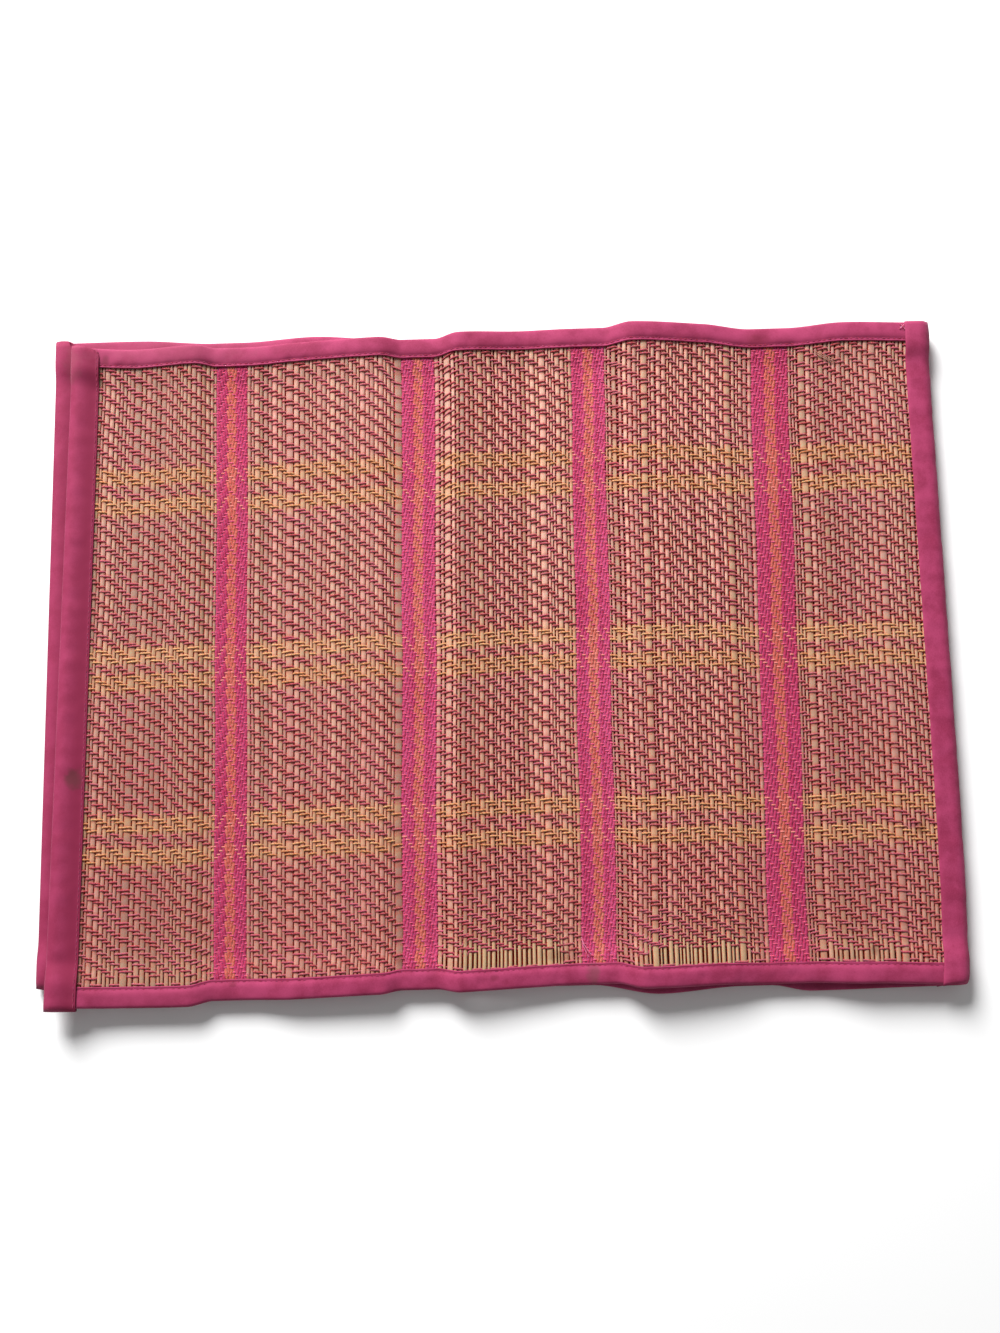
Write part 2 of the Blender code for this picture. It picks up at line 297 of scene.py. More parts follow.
class Fold:
    """Lays points of the flat mat into its folded place."""

    def __init__(self) -> None:
        """Works the layers' curves out from the tables."""
        self.curves = {layer: RowCurve(table) for layer, table in TABLES.items()}
        upper, lower = self.curves[Layer.UPPER], self.curves[Layer.LOWER]
        self.radius = (upper.values[-1, 3] - lower.values[-1, 3]) / 2
        self.quarter = math.pi / 2 * self.radius
        self.x = upper.x[-1]

    def length(self, layer: Layer) -> float:
        """How far a layer's free end is from the middle of the fold."""
        return self.x - self.curves[layer].x[0] + self.quarter

    def along(self, table_x: float, layer: Layer) -> float:
        """The `along` of a table's X, which is in millimetres."""
        return (self.x - (table_x * MM - BOX_MIDDLE_X) + self.quarter) * layer.value

    def table_x(self, along: float) -> float:
        """The table's X of an `along`, in millimetres."""
        return (self.x + self.quarter - abs(along) + BOX_MIDDLE_X) / MM

    def surface(self, along: np.ndarray, across: np.ndarray) -> np.ndarray:
        """The folded places of points of the weave's middle surface."""
        past = np.abs(along) - self.quarter
        x = self.x - past
        upper, lower = self.curves[Layer.UPPER], self.curves[Layer.LOWER]
        rows = np.where((along > 0)[:, None], upper.read(x), lower.read(x))
        turn = np.clip(along / self.radius, -math.pi / 2, math.pi / 2)
        mix = (0.5 + 0.5 * np.sin(turn))[:, None]
        bent = lower.values[-1] + (upper.values[-1] - lower.values[-1]) * mix
        rows = np.where((past <= 0)[:, None], bent, rows)
        x = np.where(past <= 0, self.x + self.radius * np.cos(turn), x)
        lean, sway, reach, near, far = rows.T
        share = across / REED_REACH
        nearness = 0.5 - share / 2
        bow = FOLD_BOW * nearness * (1 - (1 - FOLD_BOW_LEFT) * nearness ** FOLD_BOW_TURN)
        x = x + bow * smooth_step(1 - past / FOLD_BOW_LENGTH)
        drop = OVER_TAPE_CLIMB * (1 - over_edge_tape(across))
        height = near + (far - near) * (0.5 + share / 2) - drop
        return np.stack([x + lean * share / 2, sway + reach * share, height], axis=1)

    def lay(self, flat: np.ndarray) -> np.ndarray:
        """The folded places of points in the flat.

        Args:
            flat: columns along, across and height over the outer face.

        Returns:
            Columns x, y and z in the frame.
        """
        along, across, height = flat.T
        probe = 0.1 * MM
        run = self.surface(along + probe, across) - self.surface(along - probe, across)
        side = self.surface(along, across + probe) - self.surface(along, across - probe)
        normal = np.cross(side, run)
        normal /= np.linalg.norm(normal, axis=1)[:, None]
        laid = self.surface(along, across) + normal * height[:, None]
        z = laid[:, 2]
        laid[:, 2] = np.where(z < PRESSED, PRESSED * np.exp(np.minimum(z / PRESSED, 1.0) - 1), z)
        return laid


# Shader nodes

class Nodes:
    """Adds nodes to one tree and links them."""

    def __init__(self, tree: bpy.types.NodeTree) -> None:
        """Works on a tree.

        Args:
            tree: a material's, a group's or a Geometry Nodes tree.
        """
        self.tree = tree

    def add(self, kind: str, inputs: Optional[dict] = None, **settings: object) -> bpy.types.Node:
        """Adds a node.

        Args:
            kind: the node's type.
            inputs: values or output sockets for its inputs, by name or place.
            **settings: the node's own properties.

        Returns:
            The new node.
        """
        node = self.tree.nodes.new(kind)
        for name, value in settings.items():
            setattr(node, name, value)
        for key, value in (inputs or {}).items():
            self.feed(node.inputs[key], value)
        return node

    def feed(self, socket: bpy.types.NodeSocket, value: object) -> None:
        """Links an output socket to an input, or sets the input's own value."""
        if isinstance(value, bpy.types.NodeSocket):
            self.tree.links.new(value, socket)
        else:
            socket.default_value = value

    def compute(self, operation: str, *values: object) -> bpy.types.NodeSocket:
        """The result of a Math node on numbers or sockets."""
        return self.add("ShaderNodeMath", dict(enumerate(values)), operation=operation).outputs[0]

    def times(self, first: object, second: object) -> bpy.types.NodeSocket:
        """The product of two values."""
        return self.compute("MULTIPLY", first, second)

    def total(self, *values: object) -> bpy.types.NodeSocket:
        """The sum of two or more values."""
        result = values[0]
        for value in values[1:]:
            result = self.compute("ADD", result, value)
        return result

    def place(self) -> bpy.types.NodeSocket:
        """Object coordinates."""
        return self.add("ShaderNodeTexCoord").outputs["Object"]

    def uv(self, name: str) -> bpy.types.NodeSocket:
        """A UV map's coordinates."""
        return self.add("ShaderNodeUVMap", uv_map=name).outputs[0]

    def attribute(self, name: str) -> bpy.types.NodeSocket:
        """The number that a mesh keeps at each point."""
        return self.add("ShaderNodeAttribute", attribute_name=name).outputs["Fac"]

    def part(self, vector: object, axis: int) -> bpy.types.NodeSocket:
        """One of a vector's three numbers."""
        return self.add("ShaderNodeSeparateXYZ", {0: vector}).outputs[axis]

    def group(self, tree: bpy.types.NodeTree, inputs: dict) -> bpy.types.bpy_prop_collection:
        """The outputs of a shader group placed in this tree."""
        return self.add("ShaderNodeGroup", inputs, node_tree=tree).outputs

    def bump(self, shader: bpy.types.Node, strength: float, depth: float, height: object) -> None:
        """Gives a shader a bumpy normal.

        Args:
            shader: the shader.
            strength: how much of the bumps shows.
            depth: how high they are.
            height: the socket of the bumps' shape, from 0 to 1.
        """
        inputs = {"Strength": strength, "Distance": depth, "Height": height}
        self.feed(shader.inputs["Normal"], self.add("ShaderNodeBump", inputs).outputs[0])

    def mix(self, factor: object, first: object, second: object,
            mode: str = "MIX") -> bpy.types.NodeSocket:
        """Two colours mixed by a factor."""
        colours = {0: factor, 6: opaque(first), 7: opaque(second)}
        return self.add("ShaderNodeMix", colours, data_type="RGBA", blend_type=mode).outputs[2]

    def between(self, value: object, low: float, high: float,
                start: float = 0.0, end: float = 1.0) -> bpy.types.NodeSocket:
        """A value mapped softly from one range to another."""
        inputs = {"Value": value, "From Min": low, "From Max": high, "To Min": start, "To Max": end}
        return self.add("ShaderNodeMapRange", inputs, interpolation_type="SMOOTHSTEP").outputs[0]

    def noise(self, vector: object, scale: object, detail: float = 2.0,
              roughness: float = 0.5) -> bpy.types.NodeSocket:
        """Noise from 0 to 1."""
        inputs = {"Vector": vector, "Scale": scale, "Detail": detail, "Roughness": roughness}
        return self.add("ShaderNodeTexNoise", inputs).outputs[0]

    def stretched(self, vector: object, scale: Sequence[float]) -> bpy.types.NodeSocket:
        """A vector scaled by its own number along each axis."""
        return self.add("ShaderNodeMapping", {"Vector": vector, "Scale": scale}).outputs[0]


def opaque(colour: object) -> object:
    """A colour's three numbers with an alpha of 1, and a socket as it is."""
    return (*colour, 1.0) if isinstance(colour, tuple) and len(colour) == 3 else colour


def new_group(name: str, inputs: dict[str, str],
              outputs: dict[str, str]) -> tuple[bpy.types.NodeTree, Nodes]:
    """A shader node group with named sockets.

    Args:
        name: the group's name.
        inputs: the socket types of its inputs, by name.
        outputs: the socket types of its outputs, by name.

    Returns:
        The group and the helper that fills it.
    """
    tree = bpy.data.node_groups.new(name, "ShaderNodeTree")
    for kind, sockets in (("INPUT", inputs), ("OUTPUT", outputs)):
        for title, socket_type in sockets.items():
            tree.interface.new_socket(title, in_out=kind, socket_type=socket_type)
    return tree, Nodes(tree)


NUMBER, VECTOR = "NodeSocketFloat", "NodeSocketVector"


def twist_group() -> bpy.types.NodeTree:
    """The ridges of a twisted yarn, and the fuzz on it.

    Returns:
        A group with Height and Shade, both from 0 to 1.
    """
    tree, nodes = new_group("yarn twist", {"Vector": VECTOR, "Turns": NUMBER, "Fuzz": NUMBER},
                            {"Height": NUMBER, "Shade": NUMBER})
    source = nodes.add("NodeGroupInput").outputs
    place = nodes.add("ShaderNodeSeparateXYZ", {0: source["Vector"]}).outputs
    turn = nodes.total(nodes.times(place[0], source["Turns"]), place[1])
    ridge = nodes.compute("ABSOLUTE", nodes.compute("SINE", nodes.times(turn, math.pi)))
    fuzz = nodes.noise(nodes.stretched(source["Vector"], (4000.0, 9.0, 1.0)), 1.0, 3.0, 0.7)
    height = nodes.total(ridge, nodes.times(fuzz, source["Fuzz"]))
    shade = nodes.total(nodes.times(ridge, 0.6), nodes.times(fuzz, 0.4))
    nodes.add("NodeGroupOutput", {"Height": height, "Shade": shade})
    return tree


def handling_group() -> bpy.types.NodeTree:
    """Unevenness from use: broad patches of tone.

    Returns:
        A group with Patch, from 0 to 1.
    """
    inputs = {"Vector": VECTOR, "Patch Size": NUMBER}
    tree, nodes = new_group("handling", inputs, {"Patch": NUMBER})
    source = nodes.add("NodeGroupInput").outputs
    scale = nodes.compute("DIVIDE", 1.0, source["Patch Size"])
    patch = nodes.noise(source["Vector"], scale, 3.0, 0.6)
    nodes.add("NodeGroupOutput", {"Patch": nodes.between(patch, 0.3, 0.7)})
    return tree


class Finish:
    """What every finish shares: the groups, a new material and its shader."""

    groups: dict[str, bpy.types.NodeTree] = {}

    @classmethod
    def make_groups(cls) -> None:
        """Builds the shader groups once."""
        cls.groups = {"twist": twist_group(), "handling": handling_group()}

    @staticmethod
    def start(name: str, roughness: float) -> tuple[bpy.types.Material, Nodes, bpy.types.Node]:
        """A new material with its Principled shader.

        Args:
            name: the material's name.
            roughness: the shader's own roughness.

        Returns:
            The material, its node helper and its shader.
        """
        material = bpy.data.materials.new(name)
        material.use_nodes = True
        shader = material.node_tree.nodes["Principled BSDF"]
        shader.inputs["Roughness"].default_value = roughness
        shader.inputs["Specular IOR Level"].default_value = 0.3
        return material, Nodes(material.node_tree), shader

    @staticmethod
    def let_light_in(shader: bpy.types.Node) -> None:
        """Lets light scatter below the surface, which reddens the shadows between the threads."""
        shader.inputs["Subsurface Weight"].default_value = 0.45
        shader.inputs["Subsurface Radius"].default_value = (1.0, 0.28, 0.2)
        shader.inputs["Subsurface Scale"].default_value = 0.8 * MM


class Mark(NamedTuple):
    """A stain, a worn place or a patch of painted shade: where it is in the frame, its half sizes and
    its colour.
    """

    x: float
    y: float
    half_length: float
    half_depth: float
    colour: Colour
    strength: float


# In millimetres, as seen from above
WEAVE_MARKS = (
    Mark(208.5, -94.6, 3.6, 4.2, (0.20, 0.055, 0.02), 0.62),
    Mark(203.0, -93.0, 6.0, 2.2, (0.34, 0.06, 0.13), 0.5),
    Mark(181.4, -152.9, 2.2, 3.2, (0.10, 0.03, 0.02), 0.6),
    Mark(-50.8, -151.8, 4.0, 3.0, (0.14, 0.03, 0.02), 0.4),
    Mark(27.8, -151.3, 14.0, 3.5, (0.14, 0.04, 0.02), 0.35),
    Mark(178.0, 149.0, 4.6, 2.6, (0.30, 0.17, 0.12), 0.5),
)
TAPE_MARKS = (
    Mark(-211.9, -58.3, 5.4, 6.4, (0.10, 0.022, 0.026), 0.72),
    Mark(43.9, -160.2, 4.2, 7.0, (0.15, 0.05, 0.055), 0.5),
    Mark(204.8, 167.6, 1.0, 0.8, (0.08, 0.02, 0.04), 0.8),
    Mark(-198.6, 158.4, 2.6, 4.6, (0.15, 0.012, 0.03), 0.6),
    Mark(-133.0, -161.0, 2.4, 2.0, (0.16, 0.01, 0.03), 0.55),
    Mark(-4.6, -161.5, 2.6, 2.4, (0.16, 0.01, 0.03), 0.5),
    Mark(141.0, 160.0, 8.0, 4.0, (0.19, 0.012, 0.035), 0.45),
    # The last three are painted shade: the upper end tape's far corner, where it rolls down, and the
    # left ends of the far and near edge tapes
    Mark(-216.0, 157.0, 7.0, 15.0, (0.25, 0.04, 0.075), 0.6),
    Mark(-165.0, 165.0, 60.0, 14.0, (0.30, 0.045, 0.10), 0.45),
    Mark(-170.0, -163.0, 50.0, 12.0, (0.28, 0.028, 0.08), 0.35),
)


def marked(nodes: Nodes, place: object, colour: object,
           marks: Sequence[Mark]) -> bpy.types.NodeSocket:
    """A colour with marks over it, each soft and uneven at its edge.

    Args:
        nodes: the material's helper.
        place: Object coordinates.
        colour: the colour without them.
        marks: the marks.

    Returns:
        The colour with the marks.
    """
    ragged = nodes.times(nodes.noise(place, 260.0, 3.0), 1.2)
    for mark in marks:
        scale = (1 / (mark.half_length * MM), 1 / (mark.half_depth * MM), 0.0)
        location = (-mark.x / mark.half_length, -mark.y / mark.half_depth, 0.0)
        inputs = {"Vector": place, "Location": location, "Scale": scale}
        centred = nodes.add("ShaderNodeMapping", inputs).outputs[0]
        off = nodes.add("ShaderNodeVectorMath", {0: centred}, operation="LENGTH").outputs["Value"]
        mask = nodes.between(nodes.total(off, ragged), 0.9, 1.7, mark.strength, 0.0)
        colour = nodes.mix(mask, colour, mark.colour)
    return colour


@dataclass(frozen=True)
class YarnFinish(Finish):
    """Twisted cotton: warps, wefts, stitches and loose threads."""

    name: str
    light: Colour
    dark: Colour
    dye: Colour = (0.60, 0.085, 0.175)  # what rubs off on it in the bands, where its "dye" is 1
    stain: Colour = (0.42, 0.085, 0.135)  # a second tone in uneven patches
    stained: float = 0.0  # how strong it is
    outer: float = 0.0  # how much darker it is in the first and the last band
    turns: float = 520.0  # twists to a metre
    roughness: float = 0.85

    def material(self) -> bpy.types.Material:
        """The cotton's material, whose twist follows the UV map "Yarn"."""
        material, nodes, shader = self.start(self.name, self.roughness)
        inputs = {"Vector": nodes.uv("Yarn"), "Turns": self.turns, "Fuzz": 0.8}
        twist = nodes.group(self.groups["twist"], inputs)
        place = nodes.place()
        worn = nodes.group(self.groups["handling"], {"Vector": place, "Patch Size": 0.06})
        tone = nodes.attribute("tone")
        # painted shade: the twist's grooves darker and its ridges lighter, with the strand's own tone
        # and worn patches
        share = nodes.total(nodes.times(twist["Shade"], 0.7), nodes.times(tone, 0.45))
        share = nodes.total(share, nodes.times(worn["Patch"], 0.2))
        colour = nodes.mix(nodes.between(share, 0.15, 1.1), self.dark, self.light)
        clouds = nodes.noise(nodes.stretched(place, (1.0, 1.0, 0.0)), 45.0, 3.0, 0.6)
        patches = nodes.between(clouds, 0.42, 0.66)
        colour = nodes.mix(nodes.times(patches, self.stained), colour, self.stain)
        colour = nodes.mix(nodes.times(nodes.attribute("dye"), 0.88), colour, self.dye)
        middle_off = nodes.compute("ABSOLUTE", nodes.part(place, 0))
        outer = nodes.between(middle_off, 0.09, 0.12, 0.0, self.outer)
        colour = nodes.mix(outer, colour, self.dark)
        nodes.feed(shader.inputs["Base Color"], marked(nodes, place, colour, WEAVE_MARKS))
        self.let_light_in(shader)
        shader.inputs["Specular IOR Level"].default_value = 0.08
        shader.inputs["Sheen Weight"].default_value = 0.06
        nodes.bump(shader, 0.5, 0.12 * MM, twist["Height"])
        return material


@dataclass(frozen=True)
class ReedFinish(Finish):
    """Split reeds: straw and pink-stained, with fibres along them."""

    name: str = "split reed"
    straw: Colour = (0.50, 0.308, 0.232)
    pink: Colour = (0.50, 0.253, 0.214)
    olive: Colour = (0.42, 0.255, 0.165)
    fibre: Colour = (0.30, 0.12, 0.08)
    # painted shade: a dark red on the reeds' sides, for the shaded gaps between them
    edge: Colour = (0.58, 0.045, 0.018)
    deep: Colour = (0.42, 0.135, 0.115)  # a deeper, redder tone, stronger towards the near side
    bare: Colour = (0.46, 0.34, 0.18)  # where the yarns have slipped off them
    yarn_dye_and_shade: Colour = (0.42, 0.11, 0.08)  # dye from the yarns where they lie over them, and painted shade just beside them on the near side
    yellowed: Colour = (0.60, 0.36, 0.16)  # beside the yellow lines
    roughness: float = 0.5

    def material(self) -> bpy.types.Material:
        """The reeds' material, whose fibres follow the UV map "Flat"."""
        material, nodes, shader = self.start(self.name, self.roughness)
        flat, place = nodes.uv("Flat"), nodes.place()
        worn = nodes.group(self.groups["handling"], {"Vector": place, "Patch Size": 0.03})
        ramp = nodes.add("ShaderNodeValToRGB", {0: nodes.attribute("tone")})
        stops = ramp.color_ramp.elements
        stops[0].color, stops[1].color = opaque(self.olive), opaque(self.straw)
        for share, colour in ((0.28, self.straw), (0.6, self.pink)):
            stops.new(share).color = opaque(colour)
        length = nodes.noise(nodes.stretched(flat, (2600.0, 30.0, 1.0)), 1.0, 4.0, 0.65)
        joints = nodes.noise(nodes.stretched(flat, (500.0, 14.0, 1.0)), 1.0, 2.0, 0.5)
        colour = nodes.mix(nodes.between(length, 0.5, 0.8, 0.0, 0.5), ramp.outputs[0], self.fibre)
        colour = nodes.mix(nodes.between(joints, 0.45, 0.75, 0.0, 0.5), colour, self.pink)
        colour = nodes.mix(nodes.times(worn["Patch"], 0.18), colour, self.olive)
        across = nodes.part(place, 1)
        # a deeper, redder tone towards the near side
        colour = nodes.mix(nodes.between(across, -0.19, 0.06, 0.44, 0.0), colour, self.deep)
        inputs = dict.fromkeys(range(3), nodes.attribute("pale"))
        lift = nodes.add("ShaderNodeCombineColor", inputs).outputs[0]
        colour = nodes.mix(1.0, colour, lift, "MULTIPLY")
        lines = [self.beside_line(nodes, flat, line) for line in YELLOW_LINES]
        colour = nodes.mix(nodes.total(*lines), colour, self.yellowed)
        bare = nodes.attribute("bare")
        # dye from the yarns over the reeds and painted shade beside them, less on bare ends
        under = self.under_yarns(nodes, flat)
        under = nodes.times(under, nodes.between(bare, 0.2, 0.8, 0.46, 0.0))
        colour = nodes.mix(under, colour, self.yarn_dye_and_shade)
        colour = nodes.mix(nodes.times(bare, 0.75), colour, self.bare)
        # painted shade: the reeds' sides, off their crowns, take the dark red edge colour
        crown = nodes.attribute("crown")
        colour = nodes.mix(nodes.between(crown, 0.05, 0.6, 1.0, 0.0), colour, self.edge)
        nodes.feed(shader.inputs["Base Color"], marked(nodes, place, colour, WEAVE_MARKS))
        self.let_light_in(shader)
        shader.inputs["Specular IOR Level"].default_value = 0.14
        nodes.feed(shader.inputs["Roughness"], nodes.between(length, 0.3, 0.7, 0.42, 0.62))
        nodes.bump(shader, 0.35, 0.1 * MM, length)
        return material

    @staticmethod
    def under_yarns(nodes: Nodes, flat: bpy.types.NodeSocket) -> bpy.types.NodeSocket:
        """A mask of the places under the yarns and just beside them on their near side, where painted
        shade goes, from the reed's own phase.
        """
        across, phase = nodes.part(flat, 1), nodes.attribute("phase")
        yarn = nodes.total(nodes.compute("DIVIDE", across, YARN_PITCH), YARN_COUNT / 2)
        turn = nodes.compute("MODULO", nodes.total(yarn, phase, 1.1), 4.0)
        off = nodes.compute("ABSOLUTE", nodes.compute("SUBTRACT", turn, 2.0))
        return nodes.between(off, 0.95, 1.5, 1.0, 0.0)

    @staticmethod
    def beside_line(nodes: Nodes, flat: bpy.types.NodeSocket, line: float) -> bpy.types.NodeSocket:
        """A mask round one of the yellow lines."""
        off = nodes.compute("ABSOLUTE", nodes.compute("SUBTRACT", nodes.part(flat, 1), line * MM))
        return nodes.between(off, 2.5 * MM, 9.0 * MM, 0.4, 0.0)


@dataclass(frozen=True)
class TapeFinish(Finish):
    """Plain-woven cotton tape, rose coloured, with uneven worn patches and painted shade along lines of
    its profile.
    """

    name: str
    light: Colour = (0.39, 0.042, 0.125)
    dark: Colour = (0.225, 0.012, 0.051)
    roughness: float = 0.8

    def material(self) -> bpy.types.Material:
        """The tape's material, whose weave follows the UV map "Flat"."""
        material, nodes, shader = self.start(self.name, self.roughness)
        flat, place = nodes.uv("Flat"), nodes.place()
        worn = nodes.group(self.groups["handling"], {"Vector": place, "Patch Size": 0.012})
        weave = nodes.noise(nodes.stretched(flat, (2400.0, 900.0, 1.0)), 1.0, 2.0, 0.6)
        cross = nodes.noise(nodes.stretched(flat, (900.0, 2600.0, 1.0)), 1.0, 2.0, 0.6)
        thread = nodes.times(nodes.total(weave, cross), 0.5)
        share = nodes.total(nodes.times(worn["Patch"], 0.32), nodes.times(thread, 0.7))
        colour = nodes.mix(nodes.between(share, 0.1, 0.85), self.dark, self.light)
        # painted shade, where the tape's shade attribute says
        colour = nodes.mix(nodes.attribute("shade"), colour, self.dark)
        nodes.feed(shader.inputs["Base Color"], marked(nodes, place, colour, TAPE_MARKS))
        shader.inputs["Sheen Weight"].default_value = 0.13
        shader.inputs["Sheen Roughness"].default_value = 0.35
        shader.inputs["Sheen Tint"].default_value = (1.0, 0.62, 0.8, 1.0)
        nodes.bump(shader, 0.4, 0.15 * MM, thread)
        return material


@dataclass(frozen=True)
class FloorFinish(Finish):
    """A plain pale table top."""

    name: str = "pale floor"

    def material(self) -> bpy.types.Material:
        """Nearly white, with a faint unevenness."""
        material, nodes, shader = self.start(self.name, 0.9)
        colour = nodes.mix(nodes.noise(nodes.place(), 6.0), (0.94, 0.94, 0.94), (0.96, 0.96, 0.96))
        nodes.feed(shader.inputs["Base Color"], colour)
        return material


# Meshes

def new_object(name: str, mesh: bpy.types.Mesh) -> bpy.types.Object:
    """A mesh's object, linked to the scene."""
    piece = bpy.data.objects.new(name, mesh)
    bpy.context.scene.collection.objects.link(piece)
    return piece


def store(mesh: bpy.types.Mesh, name: str, values: np.ndarray) -> None:
    """Keeps one number for each point of a mesh as an attribute."""
    mesh.attributes.new(name, "FLOAT", "POINT").data.foreach_set("value", values.astype(np.float32))


def stored(mesh: bpy.types.Mesh, name: str) -> np.ndarray:
    """The numbers of a mesh's point attribute."""
    values = np.empty(len(mesh.vertices), dtype=np.float32)
    mesh.attributes[name].data.foreach_get("value", values)
    return values.astype(float)


def points_of(mesh: bpy.types.Mesh) -> np.ndarray:
    """A mesh's points, one row each."""
    values = np.empty(len(mesh.vertices) * 3, dtype=np.float32)
    mesh.vertices.foreach_get("co", values)
    return values.reshape(-1, 3).astype(float)


def corners_of(mesh: bpy.types.Mesh) -> tuple[np.ndarray, np.ndarray]:
    """The point and the face of each corner of a mesh."""
    points = np.empty(len(mesh.loops), dtype=np.int32)
    mesh.loops.foreach_get("vertex_index", points)
    totals = np.empty(len(mesh.polygons), dtype=np.int32)
    mesh.polygons.foreach_get("loop_total", totals)
    return points, np.repeat(np.arange(len(totals)), totals)


def around(mesh: bpy.types.Mesh, sides: int) -> np.ndarray:
    """How far round its thread or reed each corner of a mesh lies.

    Args:
        mesh: a mesh whose points know their "side".
        sides: how many sides a thread or reed has.

    Returns:
        Shares from 0 to 1, where the last side ends with 1 and not with 0.
    """
    corners, faces = corners_of(mesh)
    side = stored(mesh, "side")[corners]
    last = np.zeros(len(mesh.polygons), dtype=bool)
    np.logical_or.at(last, faces, side > sides - 1.5)
    return np.where(last[faces] & (side < 0.5), sides, side) / sides


def write_uv(mesh: bpy.types.Mesh, name: str, values: np.ndarray) -> None:
    """Adds a UV map, one row of two numbers for each corner."""
    layer = mesh.uv_layers.new(name=name)
    layer.data.foreach_set("uv", values.astype(np.float32).ravel())


def modifier_input(modifier: bpy.types.NodesModifier, name: str, value: object) -> None:
    """Sets a Geometry Nodes modifier's input by the socket's identifier."""
    for item in modifier.node_group.interface.items_tree:
        if item.item_type == "SOCKET" and item.in_out == "INPUT" and item.name == name:
            modifier[item.identifier] = value


def made_mesh(source: bpy.types.Object, tree: bpy.types.NodeTree,
              inputs: dict[str, object]) -> bpy.types.Mesh:
    """The plain mesh that a Geometry Nodes tree makes of an object.

    Args:
        source: the object, which is removed.
        tree: the tree.
        inputs: its inputs by name.

    Returns:
        A mesh with the instances realized.
    """
    modifier = source.modifiers.new("Making", "NODES")
    modifier.node_group = tree
    for name, value in inputs.items():
        modifier_input(modifier, name, value)
    evaluated = source.evaluated_get(bpy.context.evaluated_depsgraph_get())
    mesh = bpy.data.meshes.new_from_object(evaluated)
    flat = source.data
    bpy.data.objects.remove(source)
    bpy.data.meshes.remove(flat)
    return mesh


def geometry_tree(name: str, inputs: dict[str, str]) -> tuple[
        bpy.types.NodeTree, Nodes, bpy.types.bpy_prop_collection]:
    """A Geometry Nodes tree with named inputs.

    Args:
        name: the tree's name.
        inputs: the socket types of its inputs, by name.

    Returns:
        The tree, its helper and its inputs' sockets.
    """
    tree = bpy.data.node_groups.new(name, "GeometryNodeTree")
    tree.interface.new_socket("Geometry", in_out="INPUT", socket_type="NodeSocketGeometry")
    for title, socket_type in inputs.items():
        tree.interface.new_socket(title, in_out="INPUT", socket_type=socket_type)
    tree.interface.new_socket("Geometry", in_out="OUTPUT", socket_type="NodeSocketGeometry")
    nodes = Nodes(tree)
    return tree, nodes, nodes.add("NodeGroupInput").outputs


def end_tree(nodes: Nodes, geometry: bpy.types.NodeSocket, material: bpy.types.NodeSocket) -> None:
    """Smooth shading, Realize Instances and Set Material, which end every tree."""
    smooth = nodes.add("GeometryNodeSetShadeSmooth", {"Geometry": geometry}).outputs[0]
    real = nodes.add("GeometryNodeRealizeInstances", {"Geometry": smooth}).outputs[0]
    dressed = nodes.add("GeometryNodeSetMaterial", {"Geometry": real, "Material": material}).outputs[0]
    nodes.add("NodeGroupOutput", {"Geometry": dressed})


def sweep_tree() -> bpy.types.NodeTree:
    """Sweeps a flat round profile along the strands of a mesh of edges.

    Returns:
        The tree. It keeps "side", a profile point's number, and the strands' own attributes.
    """
    tree, nodes, source = geometry_tree("strand sweep", {
        "Width": NUMBER, "Thickness": NUMBER, "Sides": "NodeSocketInt",
        "Material": "NodeSocketMaterial"})
    curves = nodes.add("GeometryNodeMeshToCurve", {"Mesh": source["Geometry"]}).outputs[0]
    level = nodes.add("GeometryNodeSetCurveNormal", {"Curve": curves}, mode="Z_UP").outputs[0]
    circle = {"Resolution": source["Sides"], "Radius": 0.5}
    profile = nodes.add("GeometryNodeCurvePrimitiveCircle", circle).outputs[0]
    size = {0: source["Width"], 1: source["Thickness"], 2: 1.0}
    scaled = {"Geometry": profile, "Scale": nodes.add("ShaderNodeCombineXYZ", size).outputs[0]}
    profile = nodes.add("GeometryNodeTransform", scaled).outputs[0]
    index = nodes.add("GeometryNodeInputIndex").outputs[0]
    numbered = {"Geometry": profile, "Name": "side", "Value": index}
    profile = nodes.add("GeometryNodeStoreNamedAttribute", numbered, data_type="FLOAT",
                        domain="POINT").outputs[0]
    swept = {"Curve": level, "Profile Curve": profile, "Fill Caps": True}
    tube = nodes.add("GeometryNodeCurveToMesh", swept).outputs[0]
    end_tree(nodes, tube, source["Material"])
    return tree


def reed_tree() -> bpy.types.NodeTree:
    """Puts one reed body at each point of a mesh, as wide as the point's "width" says.

    Returns:
        The tree. The points' own attributes stay on the reeds.
    """
    tree, nodes, source = geometry_tree("reed rows", {
        "Reed": "NodeSocketObject", "Material": "NodeSocketMaterial"})
    body = nodes.add("GeometryNodeObjectInfo", {"Object": source["Reed"], "As Instance": True})
    named = nodes.add("GeometryNodeInputNamedAttribute", {"Name": "width"}, data_type="FLOAT")
    wide = named.outputs[0]
    size = nodes.add("ShaderNodeCombineXYZ", {0: wide, 1: 1.0, 2: 1.0}).outputs[0]
    inputs = {"Points": source["Geometry"], "Instance": body.outputs["Geometry"], "Scale": size}
    rows = nodes.add("GeometryNodeInstanceOnPoints", inputs).outputs[0]
    end_tree(nodes, rows, source["Material"])
    return tree


